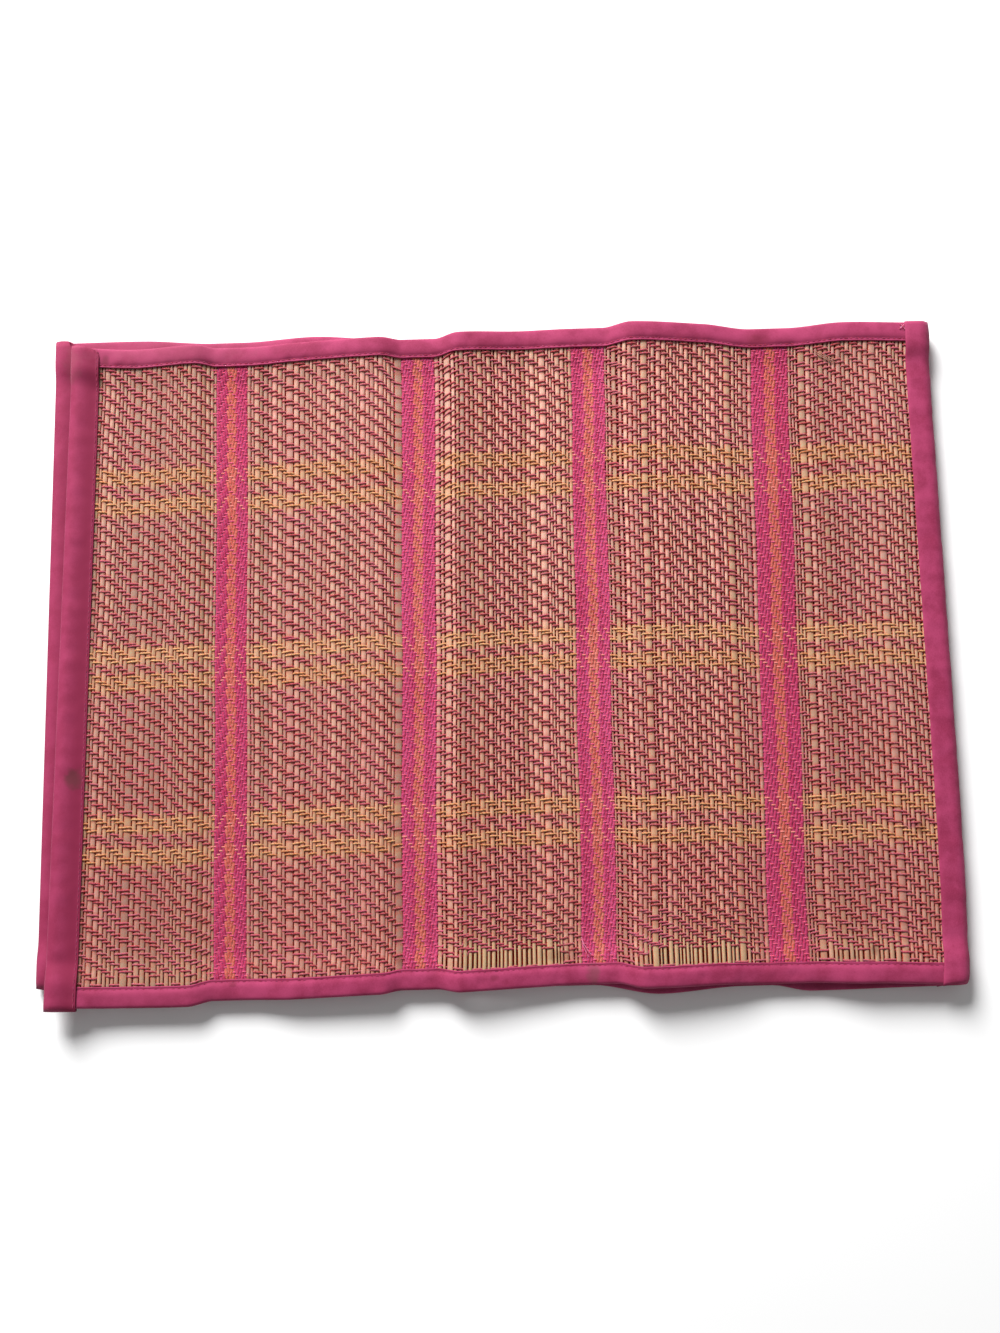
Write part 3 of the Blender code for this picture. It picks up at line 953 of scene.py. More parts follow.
@dataclass
class Strands:
    """Yarns as lines in the flat, which a tree sweeps into one mesh.

    Each line has a row for each of its points: along, across, height and dye, which is 1 in a band.
    """

    name: str
    width: float
    thickness: float
    sides: int
    per_row: int = 1  # how many of them share a row of the baking map
    lines: list[np.ndarray] = field(default_factory=list)

    def source(self, rng: np.random.Generator) -> bpy.types.Object:
        """The lines as one mesh of edges.

        Args:
            rng: draws each strand's tone.

        Returns:
            An object whose points know their strand, their place along it and its tone.
        """
        counts = [len(line) for line in self.lines]
        starts = np.cumsum([0] + counts[:-1])
        edges = np.concatenate([start + np.arange(count - 1) for start, count in zip(starts, counts)])
        points = np.concatenate(self.lines)
        mesh = bpy.data.meshes.new(self.name)
        mesh.from_pydata(points[:, :3].tolist(), np.stack([edges, edges + 1], 1).tolist(), [])
        store(mesh, "dye", points[:, 3])
        store(mesh, "strand", np.repeat(np.arange(len(counts)), counts))
        store(mesh, "run", np.concatenate([distances(line[:, :3]) for line in self.lines]))
        store(mesh, "tone", np.repeat(rng.random(len(counts)), counts))
        return new_object(self.name, mesh)

    def maps(self, mesh: bpy.types.Mesh) -> None:
        """Adds the UV maps: "Yarn", in metres and turns, and "OFBake", one row for each strand."""
        corners, _ = corners_of(mesh)
        strand, run = (stored(mesh, name)[corners] for name in ("strand", "run"))
        side = around(mesh, self.sides)
        write_uv(mesh, "Yarn", np.stack([run, side], 1))
        rows = math.ceil(len(self.lines) / self.per_row)
        room = run.max() * 1.02  # a little more than the longest strand takes
        u = (strand % self.per_row + run / room) / self.per_row
        v = (strand // self.per_row + kept_clear(side, ROW_MARGIN)) / rows
        write_uv(mesh, "OFBake", np.stack([kept_clear(u, THREAD_MARGIN), v], 1))

    def build(self, bench: "Bench", finish: YarnFinish, loose: bool = False) -> bpy.types.Object:
        """Sweeps the strands and lays them on the fold.

        Args:
            bench: the trees, the fold and the random draws.
            finish: the strands' cotton.
            loose: True where they don't follow the weave's own drift.

        Returns:
            The finished piece.
        """
        inputs = {"Width": self.width, "Thickness": self.thickness, "Sides": self.sides,
                  "Material": finish.material()}
        mesh = made_mesh(self.source(bench.rng), bench.sweep, inputs)
        self.maps(mesh)
        return bench.lay(self.name, mesh, drift=not loose)


class Wave(NamedTuple):
    """One wave of the weave's drift."""

    height: float  # in millimetres
    length: float  # in metres, along the threads that it bends
    shift: float  # over how many metres from thread to thread it moves on by its length
    start: float  # in radians

    def at(self, place: np.ndarray, thread: np.ndarray) -> np.ndarray:
        """The wave at places along threads."""
        turn = 2 * math.pi * (place / self.length + thread / self.shift)
        return self.height * np.sin(turn + self.start)


@dataclass
class Bench:
    """What every piece is made with."""

    fold: Fold
    sweep: bpy.types.NodeTree
    reeds: bpy.types.NodeTree
    rng: np.random.Generator
    reed_waves: tuple[Wave, ...] = (Wave(0.28, 0.117, 0.31, 0.0), Wave(0.16, 0.048, -0.19, 1.3))
    yarn_waves: tuple[Wave, ...] = (Wave(0.30, 0.093, 0.27, 0.6), Wave(0.16, 0.037, -0.15, 2.1))
    held_from: float = 150 * MM  # where the yarns begin to be held straight by the tapes
    held_over: float = 12 * MM

    def drift(self, flat: np.ndarray) -> np.ndarray:
        """How the threads wander off their straight lines, alike for all near one place."""
        along, across = flat[:, 0], flat[:, 1]
        free = 1 - smooth_step((np.abs(across) - self.held_from) / self.held_over)
        reeds = sum(wave.at(across, along) for wave in self.reed_waves)
        yarns = sum(wave.at(along, across) for wave in self.yarn_waves)
        return np.stack([reeds, yarns * free, np.zeros(len(flat))], axis=1) * MM

    def lay(self, name: str, mesh: bpy.types.Mesh, drift: bool) -> bpy.types.Object:
        """Moves a flat mesh's points to their folded place and makes it an object.

        Args:
            name: the piece's name.
            mesh: the flat mesh.
            drift: True where its threads wander with the weave.

        Returns:
            The piece, at the origin.
        """
        flat = points_of(mesh)
        if drift:
            flat += self.drift(flat)
        mesh.vertices.foreach_set("co", self.fold.lay(flat).astype(np.float32).ravel())
        mesh.update()
        mesh.name = name
        return new_object(name, mesh)


# The weave

class Pick(Enum):
    """What runs across the mat at one place."""

    REED = "reed"
    PINK = "pink"
    ORANGE = "orange"


BAND_PICKS = (Pick.PINK,) * 5 + (Pick.ORANGE,) * 4 + (Pick.PINK,) * 5


@dataclass
class WeavePlan:
    """The order of reeds and cotton wefts in one layer, from its free end to the fold.

    `edges` are the borders between picks as `along`, `gaps` the free space at each pick, and
    `phase` says which yarns lie over a pick: yarn j does where (phase + j) / 4 leaves 0 or 1.
    """

    layer: Layer
    edges: np.ndarray
    kinds: list[Pick]
    gaps: np.ndarray
    phase: np.ndarray

    @classmethod
    def of(cls, layer: Layer, fold: Fold, rng: np.random.Generator) -> "WeavePlan":
        """Plans a layer: reeds of uneven width in the sections, even wefts in the bands.

        Args:
            layer: which half of the mat.
            fold: the folded mat.
            rng: draws the reeds' widths.

        Returns:
            The plan.
        """
        table = TABLES[layer]
        bands = [(row.x - row.level / 2, row.x + row.level / 2)
                 for row in table.values() if row.level]
        end = table["fold"].x + fold.quarter / MM
        borders, kinds, gaps, steps = [table["free end"].x], [], [], []
        for number, (left, right) in enumerate([*bands, (end, end)]):
            start = borders[-1]
            count = round((left - start) * MM / REED_PITCH)
            weights = rng.uniform(*REED_WIDTHS, count)
            for wide in WIDE_REEDS:
                if layer is Layer.UPPER and start < wide < left:
                    weights[int((wide - start) / (left - start) * count)] = WIDE_REED
            borders += list(start + (left - start) * np.cumsum(weights) / weights.sum())
            kinds += [Pick.REED] * count
            gaps += list(SECTION_GAPS[number] * rng.uniform(*GAP_SPREAD, count) * MM)
            steps += [1] * count
            if right > left:
                count, half = len(BAND_PICKS), len(BAND_PICKS) // 2
                borders += list(np.linspace(left, right, count + 1)[1:])
                kinds += BAND_PICKS
                gaps += [0.0] * count
                first = -1 if number == 0 else 1  # the first band's slant turns at its middle
                steps += [first] * half + [1] * (count - half)
        edges = np.array([fold.along(x, layer) for x in borders])
        return cls(layer, edges, kinds, np.array(gaps), np.cumsum(steps))

    def runs(self, yarn: int) -> list[tuple[int, int, bool]]:
        """A yarn's stretches over and under the picks, as `runs_of` gives them."""
        return runs_of((self.phase + yarn) % 4 < 2)


def yarn_across(yarn: int) -> float:
    """Where a yarn of the warp lies, before it drifts."""
    return (yarn - (YARN_COUNT - 1) / 2) * YARN_PITCH


def is_yellow(yarn: int) -> bool:
    """Whether a yarn belongs to one of the yellow lines."""
    return any(abs(yarn_across(yarn) - line * MM) < YELLOW_HALF_WIDTH for line in YELLOW_LINES)


@dataclass
class Warp:
    """The thin yarns that run along the mat and bind the reeds, two over and two under."""

    plans: dict[Layer, WeavePlan]
    reed_crown: float = 0.74 * MM  # the yarn's height over the middle of its run on reeds
    reed_edge: float = 0.4 * MM
    reed_under: float = -0.6 * MM
    band_crown: float = 0.22 * MM
    band_edge: float = 0.1 * MM
    band_under: float = -0.26 * MM
    pairing: float = 0.11 * MM  # how far two yarns of one dent lie off their even places
    sag: float = 0.16 * MM  # how much nearer a yarn runs below the reeds
    slants: tuple[Zone, ...] = (  # how far a float's left end lies to the far side, in millimetres
        Zone(-150.0, 90.0, 0.12), Zone(-56.0, 17.0, 0.55), Zone(-29.0, 16.0, -0.75),
        Zone(60.0, 10.0, 0.25), Zone(78.0, 14.0, -0.3), Zone(30.0, 30.0, -0.12),
        Zone(170.0, 60.0, -0.12))
    least_slant: float = 0.3  # the share of it that is left at the near side, and in the bands
    slant_grows: tuple[float, float] = (-60.0, 100.0)  # from where to where across, in millimetres
    wander: float = 0.15 * MM  # how unevenly the floats lie
    turning: float = 0.14 * MM  # how unevenly they slant
    hidden: float = 2.0 * MM  # how far a yarn may lie under an edge tape and still be made
    slipped: int = 12  # how many yarns beside the near tape can slip
    slip_under: float = -1.2 * MM  # how far the nearest slips, which goes under the tape
    slip_off: float = 5.6 * MM  # how far the next one slips; the others slip less and less

    def slack(self, table_x: float, yarn: int, first: int) -> float:
        """How far a yarn has slipped off the near tape, where the weave is loose."""
        rank = yarn - first
        if rank > self.slipped:
            return 0.0
        slip = self.slip_under if rank < 1 else self.slip_off * (1 - (rank - 1) / self.slipped)
        return slip * float(looseness(table_x))

    def line(self, yarn: int, plan: WeavePlan, fold: Fold, fine: bool,
             rng: np.random.Generator) -> np.ndarray:
        """One yarn's line in the flat.

        Args:
            yarn: its number, from the near side.
            plan: the layer's picks.
            fold: the folded mat.
            fine: whether it has all its points, or only what the lower layer needs.
            rng: draws its small unevenness.

        Returns:
            Its points, as `Strands` has them.
        """
        points = []
        middle = yarn_across(yarn) + self.pairing * (1 if yarn % 2 else -1)
        first = math.ceil((YARN_COUNT - 1) / 2 - (REED_REACH - EDGE_TAPE_WALL) / YARN_PITCH)
        low, high = self.slant_grows
        farness = float(smooth_step(np.array((middle / MM - low) / (high - low))))
        for start, stop, over in plan.runs(yarn):
            left, right = plan.edges[start], plan.edges[stop]
            reed = plan.kinds[start] is Pick.REED and plan.kinds[stop - 1] is Pick.REED
            table_x = fold.table_x((left + right) / 2)
            home = middle + self.slack(table_x, yarn, first) + rng.normal(0.0, self.wander)
            tilt = zones_at(table_x, self.slants) * MM
            tilt *= self.least_slant + (1 - self.least_slant) * farness
            tilt += rng.normal(0.0, self.turning)
            tilt *= 1.0 if reed else self.least_slant
            if over:
                crown = self.reed_crown if reed else self.band_crown
                edge = self.reed_edge if reed else self.band_edge
                shares = ((0.15, crown), (0.85, crown))
                if fine:
                    shares = ((0.08, edge), (0.5, crown), (0.92, edge))
            else:
                under = self.reed_under if reed else self.band_under
                shares = ((0.12, under), (0.88, under)) if fine else ((0.5, under),)
                home -= self.sag
                tilt = -tilt
            for share, height in shares:
                place = left + (right - left) * share
                points.append((place, home + tilt * (1 - 2 * share), height, not reed))
        return np.array(points)

    def build(self, bench: Bench, finishes: dict[str, YarnFinish]) -> list[bpy.types.Object]:
        """Builds the warp in zones, each one piece.

        Args:
            bench: what the pieces are made with.
            finishes: the finishes by colour.

        Returns:
            The pieces.
        """
        reach = REED_REACH - EDGE_TAPE_WALL + self.hidden
        yarns = [j for j in range(YARN_COUNT) if abs(yarn_across(j)) < reach]
        rose = [j for j in yarns if not is_yellow(j)]
        yellow = [j for j in yarns if is_yellow(j)]
        third, two_thirds = yarns[len(yarns) // 3], yarns[len(yarns) // 3 * 2]
        parts = {
            Layer.UPPER: (("near_rose_warp", "rose", [j for j in rose if j < third]),
                          ("middle_rose_warp", "rose", [j for j in rose if third <= j < two_thirds]),
                          ("far_rose_warp", "rose", [j for j in rose if j >= two_thirds]),
                          ("upper_yellow_warp", "yellow", yellow)),
            Layer.LOWER: (("lower_rose_warp", "rose", rose),
                          ("lower_yellow_warp", "yellow", yellow)),
        }
        pieces = []
        for layer, plan in self.plans.items():
            fine = layer is Layer.UPPER
            for name, colour, members in parts[layer]:
                strands = Strands(name, YARN_WIDTH, YARN_THICKNESS, SIDES[layer])
                strands.lines = [self.line(j, plan, bench.fold, fine, bench.rng) for j in members]
                pieces.append(strands.build(bench, finishes[colour]))
        return pieces


@dataclass
class Reeds:
    """The stiff reeds, each as long as the mat is deep."""

    plans: dict[Layer, WeavePlan]
    stations: tuple[float, ...] = (  # its rings of points, in millimetres from the middle
        157.5, 153.5, 150.0, 146.5, 143.0, 120.0, 80.0, 40.0, 0.0)
    section: tuple[tuple[float, float], ...] = (  # as shares of a reed's width and thickness
        (-0.5, -0.12), (-0.36, 0.36), (0.0, 0.5), (0.36, 0.36), (0.5, -0.12), (0.0, -0.5))
    crowns: tuple[float, ...] = (0.0, 0.7, 1.0, 0.7, 0.0, 0.0)  # 1 on the top of the section
    shade_and_pale_zones: tuple[Zone, ...] = (  # how much lighter than the usual tone of 1; the darker zones are painted shade, for less light there
        Zone(-190.0, 44.0, -0.16), Zone(-111.0, 30.0, -0.08), Zone(-61.0, 22.0, 0.2),
        Zone(2.0, 36.0, 0.2), Zone(28.0, 20.0, 0.2), Zone(100.0, 48.0, 0.28),
        Zone(168.0, 34.0, -0.08))
    pale_spread: float = 0.12  # how much the tones of single reeds differ
    pale_range: tuple[float, float] = (0.72, 1.32)
    shorter: float = 0.4 * MM  # how far the reeds end before the reach of the weave
    most_gap: float = 0.4  # the most of a reed's place that is left free
    bowing: float = 0.07 * MM  # how far reeds bow sideways
    rising: float = 0.05 * MM  # how much their heights differ
    thinner: float = 0.1  # how much a bare end is thinner
    bare_from: float = 138 * MM  # where the yarns can have slipped off, towards the near side
    bare_over: float = 12 * MM

    def body(self) -> bpy.types.Object:
        """One reed, one unit wide: a split stem with a rounded face and a flatter back."""
        half = [REED_REACH - self.shorter] + [station * MM for station in self.stations]
        across = [-place for place in half] + list(reversed(half[:-1]))
        sides = len(self.section)
        points = [(x, y, z * REED_THICKNESS) for y in across for x, z in self.section]
        faces = []
        for ring in range(0, (len(across) - 1) * sides, sides):
            for side in range(sides):
                first, second = ring + side, ring + (side + 1) % sides
                faces.append((first, second, second + sides, first + sides))
        faces += [tuple(reversed(range(sides))), tuple(range(len(points) - sides, len(points)))]
        mesh = bpy.data.meshes.new("reed body")
        mesh.from_pydata(points, [], faces)
        store(mesh, "side", np.tile(np.arange(sides), len(across)))
        store(mesh, "crown", np.tile(self.crowns, len(across)))
        return new_object("reed body", mesh)

    def build(self, bench: Bench, finish: ReedFinish) -> bpy.types.Object:
        """Builds the reeds of both layers as one piece.

        Args:
            bench: what the piece is made with.
            finish: the reeds' finish.

        Returns:
            The piece.
        """
        places, widths, phases = [], [], []
        for plan in self.plans.values():
            for number, kind in enumerate(plan.kinds):
                if kind is Pick.REED:
                    pitch = abs(plan.edges[number + 1] - plan.edges[number])
                    places.append((plan.edges[number] + plan.edges[number + 1]) / 2)
                    widths.append(pitch - min(plan.gaps[number], self.most_gap * pitch))
                    phases.append(plan.phase[number] % 4)
        count = len(places)
        mesh = bpy.data.meshes.new("reeds")
        mesh.from_pydata([(place, 0.0, 0.0) for place in places], [], [])
        store(mesh, "width", np.array(widths))
        tables = [bench.fold.table_x(place) for place in places]
        # the zones' lightness, whose darker zones are painted shade, times each reed's own random tone
        pale = np.array([1.0 + zones_at(table_x, self.shade_and_pale_zones) for table_x in tables])
        pale *= bench.rng.normal(1.0, self.pale_spread, count)
        store(mesh, "pale", pale.clip(*self.pale_range))
        store(mesh, "phase", np.array(phases))
        store(mesh, "reed", np.arange(count))
        store(mesh, "middle", np.array(places))
        store(mesh, "loose", looseness(np.array(tables)))
        store(mesh, "tone", bench.rng.random(count))
        body = self.body()
        inputs = {"Reed": body, "Material": finish.material()}
        rows = made_mesh(new_object("reeds", mesh), bench.reeds, inputs)
        bpy.data.objects.remove(body)
        self.maps(rows, count)
        self.unevenness(rows, count, bench.rng)
        return bench.lay("reeds", rows, drift=True)

    def maps(self, mesh: bpy.types.Mesh, count: int) -> None:
        """Adds the UV maps "Flat", in metres, and "OFBake", one row for each reed."""
        corners, _ = corners_of(mesh)
        points = points_of(mesh)[corners]
        write_uv(mesh, "Flat", points[:, :2])
        u = kept_clear(0.5 + 0.5 * points[:, 1] / REED_REACH, MAP_MARGIN)
        v = stored(mesh, "reed")[corners] + kept_clear(around(mesh, len(self.section)), ROW_MARGIN)
        write_uv(mesh, "OFBake", np.stack([u, v / count], 1))

    def unevenness(self, mesh: bpy.types.Mesh, count: int, rng: np.random.Generator) -> None:
        """Bows each reed a little, varies its height and thins it where it is bare.

        Args:
            mesh: the flat reeds.
            count: how many reeds there are.
            rng: draws how.
        """
        points = points_of(mesh)
        reed = stored(mesh, "reed").astype(int)
        turn = rng.uniform(0, 2 * math.pi, (count, 2))
        bow = rng.normal(0.0, self.bowing, count)
        rise = rng.normal(0.0, self.rising, count)
        reach = points[:, 1] / REED_REACH
        middle = stored(mesh, "middle")
        bare = stored(mesh, "loose")
        bare *= smooth_step((-points[:, 1] - self.bare_from) / self.bare_over)
        store(mesh, "bare", bare)
        points[:, 0] = middle + (points[:, 0] - middle) * (1 - self.thinner * bare)
        points[:, 0] += bow[reed] * np.sin(3.1 * reach + turn[reed, 0])
        points[:, 2] += rise[reed] * (1 + 0.6 * np.sin(5.0 * reach + turn[reed, 1]))
        mesh.vertices.foreach_set("co", points.astype(np.float32).ravel())


@dataclass
class BandWefts:
    """The cotton wefts of the four bands, woven two over and two under like the reeds."""

    plans: dict[Layer, WeavePlan]
    width: float = 1.95 * MM
    thickness: float = 0.64 * MM
    crown: float = 0.28 * MM
    spread: float = 0.04 * MM  # how much their crowns differ
    under: float = -0.14 * MM
    slant: float = 0.26 * MM
    shorter: float = 1.5 * MM  # how far they end before the reach of the weave

    def line(self, pick: int, plan: WeavePlan, fine: bool, rng: np.random.Generator) -> np.ndarray:
        """One weft's line in the flat.

        Args:
            pick: its number in the plan.
            plan: the layer's picks.
            fine: whether it has all its points.
            rng: draws its small unevenness.

        Returns:
            Its points, as `Strands` has them.
        """
        place = (plan.edges[pick] + plan.edges[pick + 1]) / 2
        lean = self.slant * plan.layer.value * (plan.phase[pick] - plan.phase[pick - 1])
        points = []
        for start, stop, over in runs_of((plan.phase[pick] + np.arange(YARN_COUNT)) % 4 >= 2):
            near, far = yarn_across(start) - YARN_PITCH / 2, yarn_across(stop) - YARN_PITCH / 2
            turn, shares = -lean, ((0.5, self.under),)
            if over:
                top = self.crown + rng.normal(0.0, self.spread)
                turn, shares = lean, ((0.2, top), (0.8, top))
                if fine:
                    shares = ((0.08, 0.4 * top), (0.5, top), (0.92, 0.4 * top))
            for share, height in shares:
                across = near + (far - near) * share
                points.append((place + turn * (1 - 2 * share), across, height, 0.0))
        return np.array([point for point in points if abs(point[1]) < REED_REACH - self.shorter])

    def build(self, bench: Bench, finishes: dict[str, YarnFinish]) -> list[bpy.types.Object]:
        """Builds the wefts, one piece for each colour and layer.

        Args:
            bench: what the pieces are made with.
            finishes: the finishes by colour.

        Returns:
            The pieces.
        """
        pieces = []
        for layer, plan in self.plans.items():
            fine = layer is Layer.UPPER
            for kind in (Pick.PINK, Pick.ORANGE):
                name = f"{layer.name.lower()}_{kind.value}_wefts"
                strands = Strands(name, self.width, self.thickness, SIDES[layer])
                strands.lines = [self.line(pick, plan, fine, bench.rng)
                                 for pick, found in enumerate(plan.kinds) if found is kind]
                pieces.append(strands.build(bench, finishes[kind.value]))
        return pieces


# The tapes

class Bend(NamedTuple):
    """A point of a tape's outer side, in millimetres from the mat's edge."""

    inward: float  # how far in from the edge, below 0 on the nose
    height: float  # over the weave's middle surface


def nose(radius: float, count: int) -> list[Bend]:
    """The round points of a tape's nose, from under the mat's edge to over it."""
    turns = np.linspace(-math.pi / 2, math.pi / 2, count + 2)[1:-1]
    return [Bend(-radius * math.cos(turn), radius * math.sin(turn)) for turn in turns]


def folded(over: list[Bend], radius: float) -> np.ndarray:
    """A whole profile, the same under the mat as over it.

    Args:
        over: the points over the mat, from its edge inwards.
        radius: the nose's radius.

    Returns:
        Rows inward and height, from the tape's inner edge under the mat, round the nose, to over it.
    """
    under = [Bend(bend.inward, -bend.height) for bend in reversed(over)]
    return np.array(under + nose(radius, 7) + over)


EDGE_PROFILES = {
    Side.FAR: folded([
        Bend(0.0, 1.78), Bend(1.2, 1.95), Bend(2.8, 2.08), Bend(4.4, 2.05), Bend(5.8, 1.92),
        Bend(6.8, 1.72), Bend(7.4, 1.4), Bend(7.8, 1.34), Bend(8.15, 1.5), Bend(8.45, 1.54),
        Bend(8.7, 1.4), Bend(8.8, 1.05)], 1.72),
    Side.NEAR: folded([
        Bend(0.0, 1.75), Bend(1.2, 1.9), Bend(2.6, 2.02), Bend(4.0, 2.1), Bend(5.4, 2.1),
        Bend(6.6, 1.86), Bend(7.3, 1.48), Bend(7.8, 1.36), Bend(8.15, 1.54), Bend(8.45, 1.6),
        Bend(8.7, 1.46), Bend(8.8, 1.1)], 1.7),
}
END_PROFILE = folded([
    Bend(0.0, 2.0), Bend(1.0, 2.62), Bend(2.2, 2.95), Bend(3.6, 2.9), Bend(5.2, 2.6),
    Bend(7.0, 2.15), Bend(9.0, 1.65), Bend(10.8, 1.35), Bend(11.9, 1.18), Bend(12.3, 1.26),
    Bend(12.7, 1.26), Bend(13.0, 1.0)], 1.8)
STRIP_RIM = np.array([  # from the strip's inner edge outwards, and its height
    (0.0, 1.12), (0.2, 1.4), (0.5, 1.58), (1.0, 1.7), (1.6, 1.78), (2.4, 1.84), (3.8, 1.88),
    (5.4, 1.86), (7.2, 1.8), (9.2, 1.76), (11.2, 1.74)])


class Crease(NamedTuple):
    """A soft trough in an edge tape of the upper layer, in millimetres, or a ridge below 0."""

    x: float  # its middle as a table X
    depth: float
    half_width: float
    inward: float = 4.5  # its middle across the tape, from the mat's edge
    half_reach: float = 5.0


# Listed from left to right
CREASES = {
    Side.FAR: (
        Crease(-206.5, 0.55, 3.4, 5.0, 4.5), Crease(-199.0, -0.25, 3.0), Crease(-176.0, 0.22, 4.0),
        Crease(-158.0, -0.18, 5.0), Crease(-142.8, 0.4, 3.2, 6.0, 3.0),
        Crease(-132.8, -0.3, 1.6, 4.0, 4.0),
        Crease(-114.0, 0.2, 5.0), Crease(-89.5, 0.38, 2.4, 3.0, 3.4), Crease(-62.0, 0.2, 4.0),
        Crease(-38.5, 0.3, 3.0), Crease(-34.5, -0.32, 1.6, 4.6, 4.0),
        Crease(-15.8, 0.42, 1.2, 3.2, 4.6),
        Crease(12.0, 0.2, 5.0), Crease(30.0, -0.16, 4.0), Crease(47.5, -0.3, 7.0, 5.0, 5.0),
        Crease(57.0, 0.25, 3.0), Crease(75.7, 0.36, 1.6), Crease(92.0, 0.16, 4.0),
        Crease(118.0, -0.18, 4.0),
        Crease(135.3, 0.42, 6.0, 5.4, 4.2), Crease(144.7, -0.36, 2.4), Crease(166.0, 0.2, 5.0),
        Crease(186.0, 0.18, 3.0)),
    Side.NEAR: (
        Crease(-207.6, 0.4, 2.2), Crease(-201.7, -0.3, 1.4), Crease(-186.0, 0.18, 4.0),
        Crease(-160.0, 0.16, 5.0), Crease(-134.4, 0.5, 2.6, 4.4, 3.6), Crease(-127.0, -0.25, 2.6),
        Crease(-117.4, -0.28, 1.4), Crease(-92.0, 0.18, 5.0), Crease(-64.0, 0.2, 4.0),
        Crease(-37.0, 0.5, 1.4, 2.2, 3.0), Crease(-12.5, 0.36, 2.2, 2.4, 3.2),
        Crease(-5.1, 0.42, 2.2, 5.0, 3.4),
        Crease(1.8, 0.3, 1.8, 5.0, 3.2), Crease(17.0, 0.32, 1.6, 4.4, 3.2), Crease(28.0, -0.2, 3.0),
        Crease(42.0, 0.3, 4.0), Crease(52.0, -0.22, 3.0), Crease(76.0, 0.16, 5.0),
        Crease(96.0, 0.34, 4.0, 2.6, 3.4), Crease(108.0, 0.24, 1.4),
        Crease(129.0, -0.34, 3.4, 4.6, 4.0),
        Crease(141.0, 0.3, 4.4, 3.0, 3.4), Crease(164.0, 0.18, 4.0), Crease(192.0, 0.24, 2.4)),
}


def ripple(along: np.ndarray, lengths: Sequence[float], seed: int) -> np.ndarray:
    """A soft uneven wave from -1 to 1 along a tape.

    Args:
        along: places in metres.
        lengths: the wave lengths that it mixes, in millimetres.
        seed: which of many such waves.

    Returns:
        The wave at each place.
    """
    rng = np.random.default_rng(seed)
    total = np.zeros_like(along)
    for length in lengths:
        total += np.sin(2 * math.pi * (along / (length * MM) + rng.random()))
    return total / len(lengths)


@dataclass
class Tape:
    """One tape as a closed sheet: an outer side, an inner side and the walls between them.

    Both sides are grids of flat points, profile by length by 3.
    """

    name: str
    outer: np.ndarray
    inner: np.ndarray
    shade: np.ndarray  # painted shade on the cloth at each line of the profile
    sides_on_map: tuple[tuple[float, float], ...] = ((0.01, 0.60), (0.64, 0.93))
    walls_on_map: tuple[float, ...] = (0.94, 0.955, 0.97, 0.985)
    wall_height: float = 0.01

    @staticmethod
    def strip(first: np.ndarray, second: np.ndarray, u: np.ndarray, low: float,
              high: float) -> tuple[np.ndarray, np.ndarray]:
        """The faces between two lines of points.

        Args:
            first: the points' numbers in one line.
            second: those in the other.
            u: the places of both along the baking map.
            low: the first line's height on that map.
            high: the second line's.

        Returns:
            The faces' points, and their corners on the baking map.
        """
        faces = np.stack([first[:-1], first[1:], second[1:], second[:-1]], axis=-1)
        u_corners = np.stack([u[:-1], u[1:], u[1:], u[:-1]], axis=-1)
        v_corners = np.broadcast_to([low, low, high, high], u_corners.shape)
        return faces, np.stack([u_corners, v_corners], axis=-1).reshape(-1, 2)

    def build(self, bench: Bench, finish: TapeFinish) -> bpy.types.Object:
        """Builds the tape.

        Args:
            bench: what the piece is made with.
            finish: its cotton.

        Returns:
            The piece.
        """
        rows, columns = self.outer.shape[:2]
        index = np.arange(rows * columns).reshape(rows, columns)
        back = index + rows * columns
        lengthwise = distances(self.outer[rows // 2])
        crosswise = distances(self.outer[:, columns // 2])
        u, v = (kept_clear(line / line[-1], MAP_MARGIN) for line in (lengthwise, crosswise))
        parts = []
        for grid, (low, high) in zip((index, back), self.sides_on_map):
            level = low + (high - low) * v
            parts += [self.strip(grid[row], grid[row + 1], u, level[row], level[row + 1])
                      for row in range(rows - 1)]
        walls = ((index[0], back[0], u), (index[-1], back[-1], u),
                 (index[:, 0], back[:, 0], v), (index[:, -1], back[:, -1], v))
        parts += [self.strip(first, second, places, low, low + self.wall_height)
                  for (first, second, places), low in zip(walls, self.walls_on_map)]
        points = np.concatenate([self.outer.reshape(-1, 3), self.inner.reshape(-1, 3)])
        mesh = bpy.data.meshes.new(self.name)
        mesh.from_pydata(points.tolist(), [], np.concatenate([faces for faces, _ in parts]).tolist())
        flat = np.stack(np.broadcast_arrays(lengthwise[None, :], crosswise[:, None]), -1)
        flat = flat.reshape(-1, 2)
        corners, _ = corners_of(mesh)
        store(mesh, "shade", np.tile(np.repeat(self.shade, columns), 2))
        write_uv(mesh, "Flat", np.concatenate([flat, flat])[corners])
        write_uv(mesh, "OFBake", np.concatenate([places for _, places in parts]))
        mesh.materials.append(finish.material())
        piece = bench.lay(self.name, mesh, drift=False)
        outwards(piece)
        return piece


def outwards(piece: bpy.types.Object) -> None:
    """Turns a closed mesh's faces outwards and shades it smooth."""
    work = bmesh.new()
    work.from_mesh(piece.data)
    bmesh.ops.recalc_face_normals(work, faces=work.faces)
    work.to_mesh(piece.data)
    work.free()
    piece.data.shade_smooth()


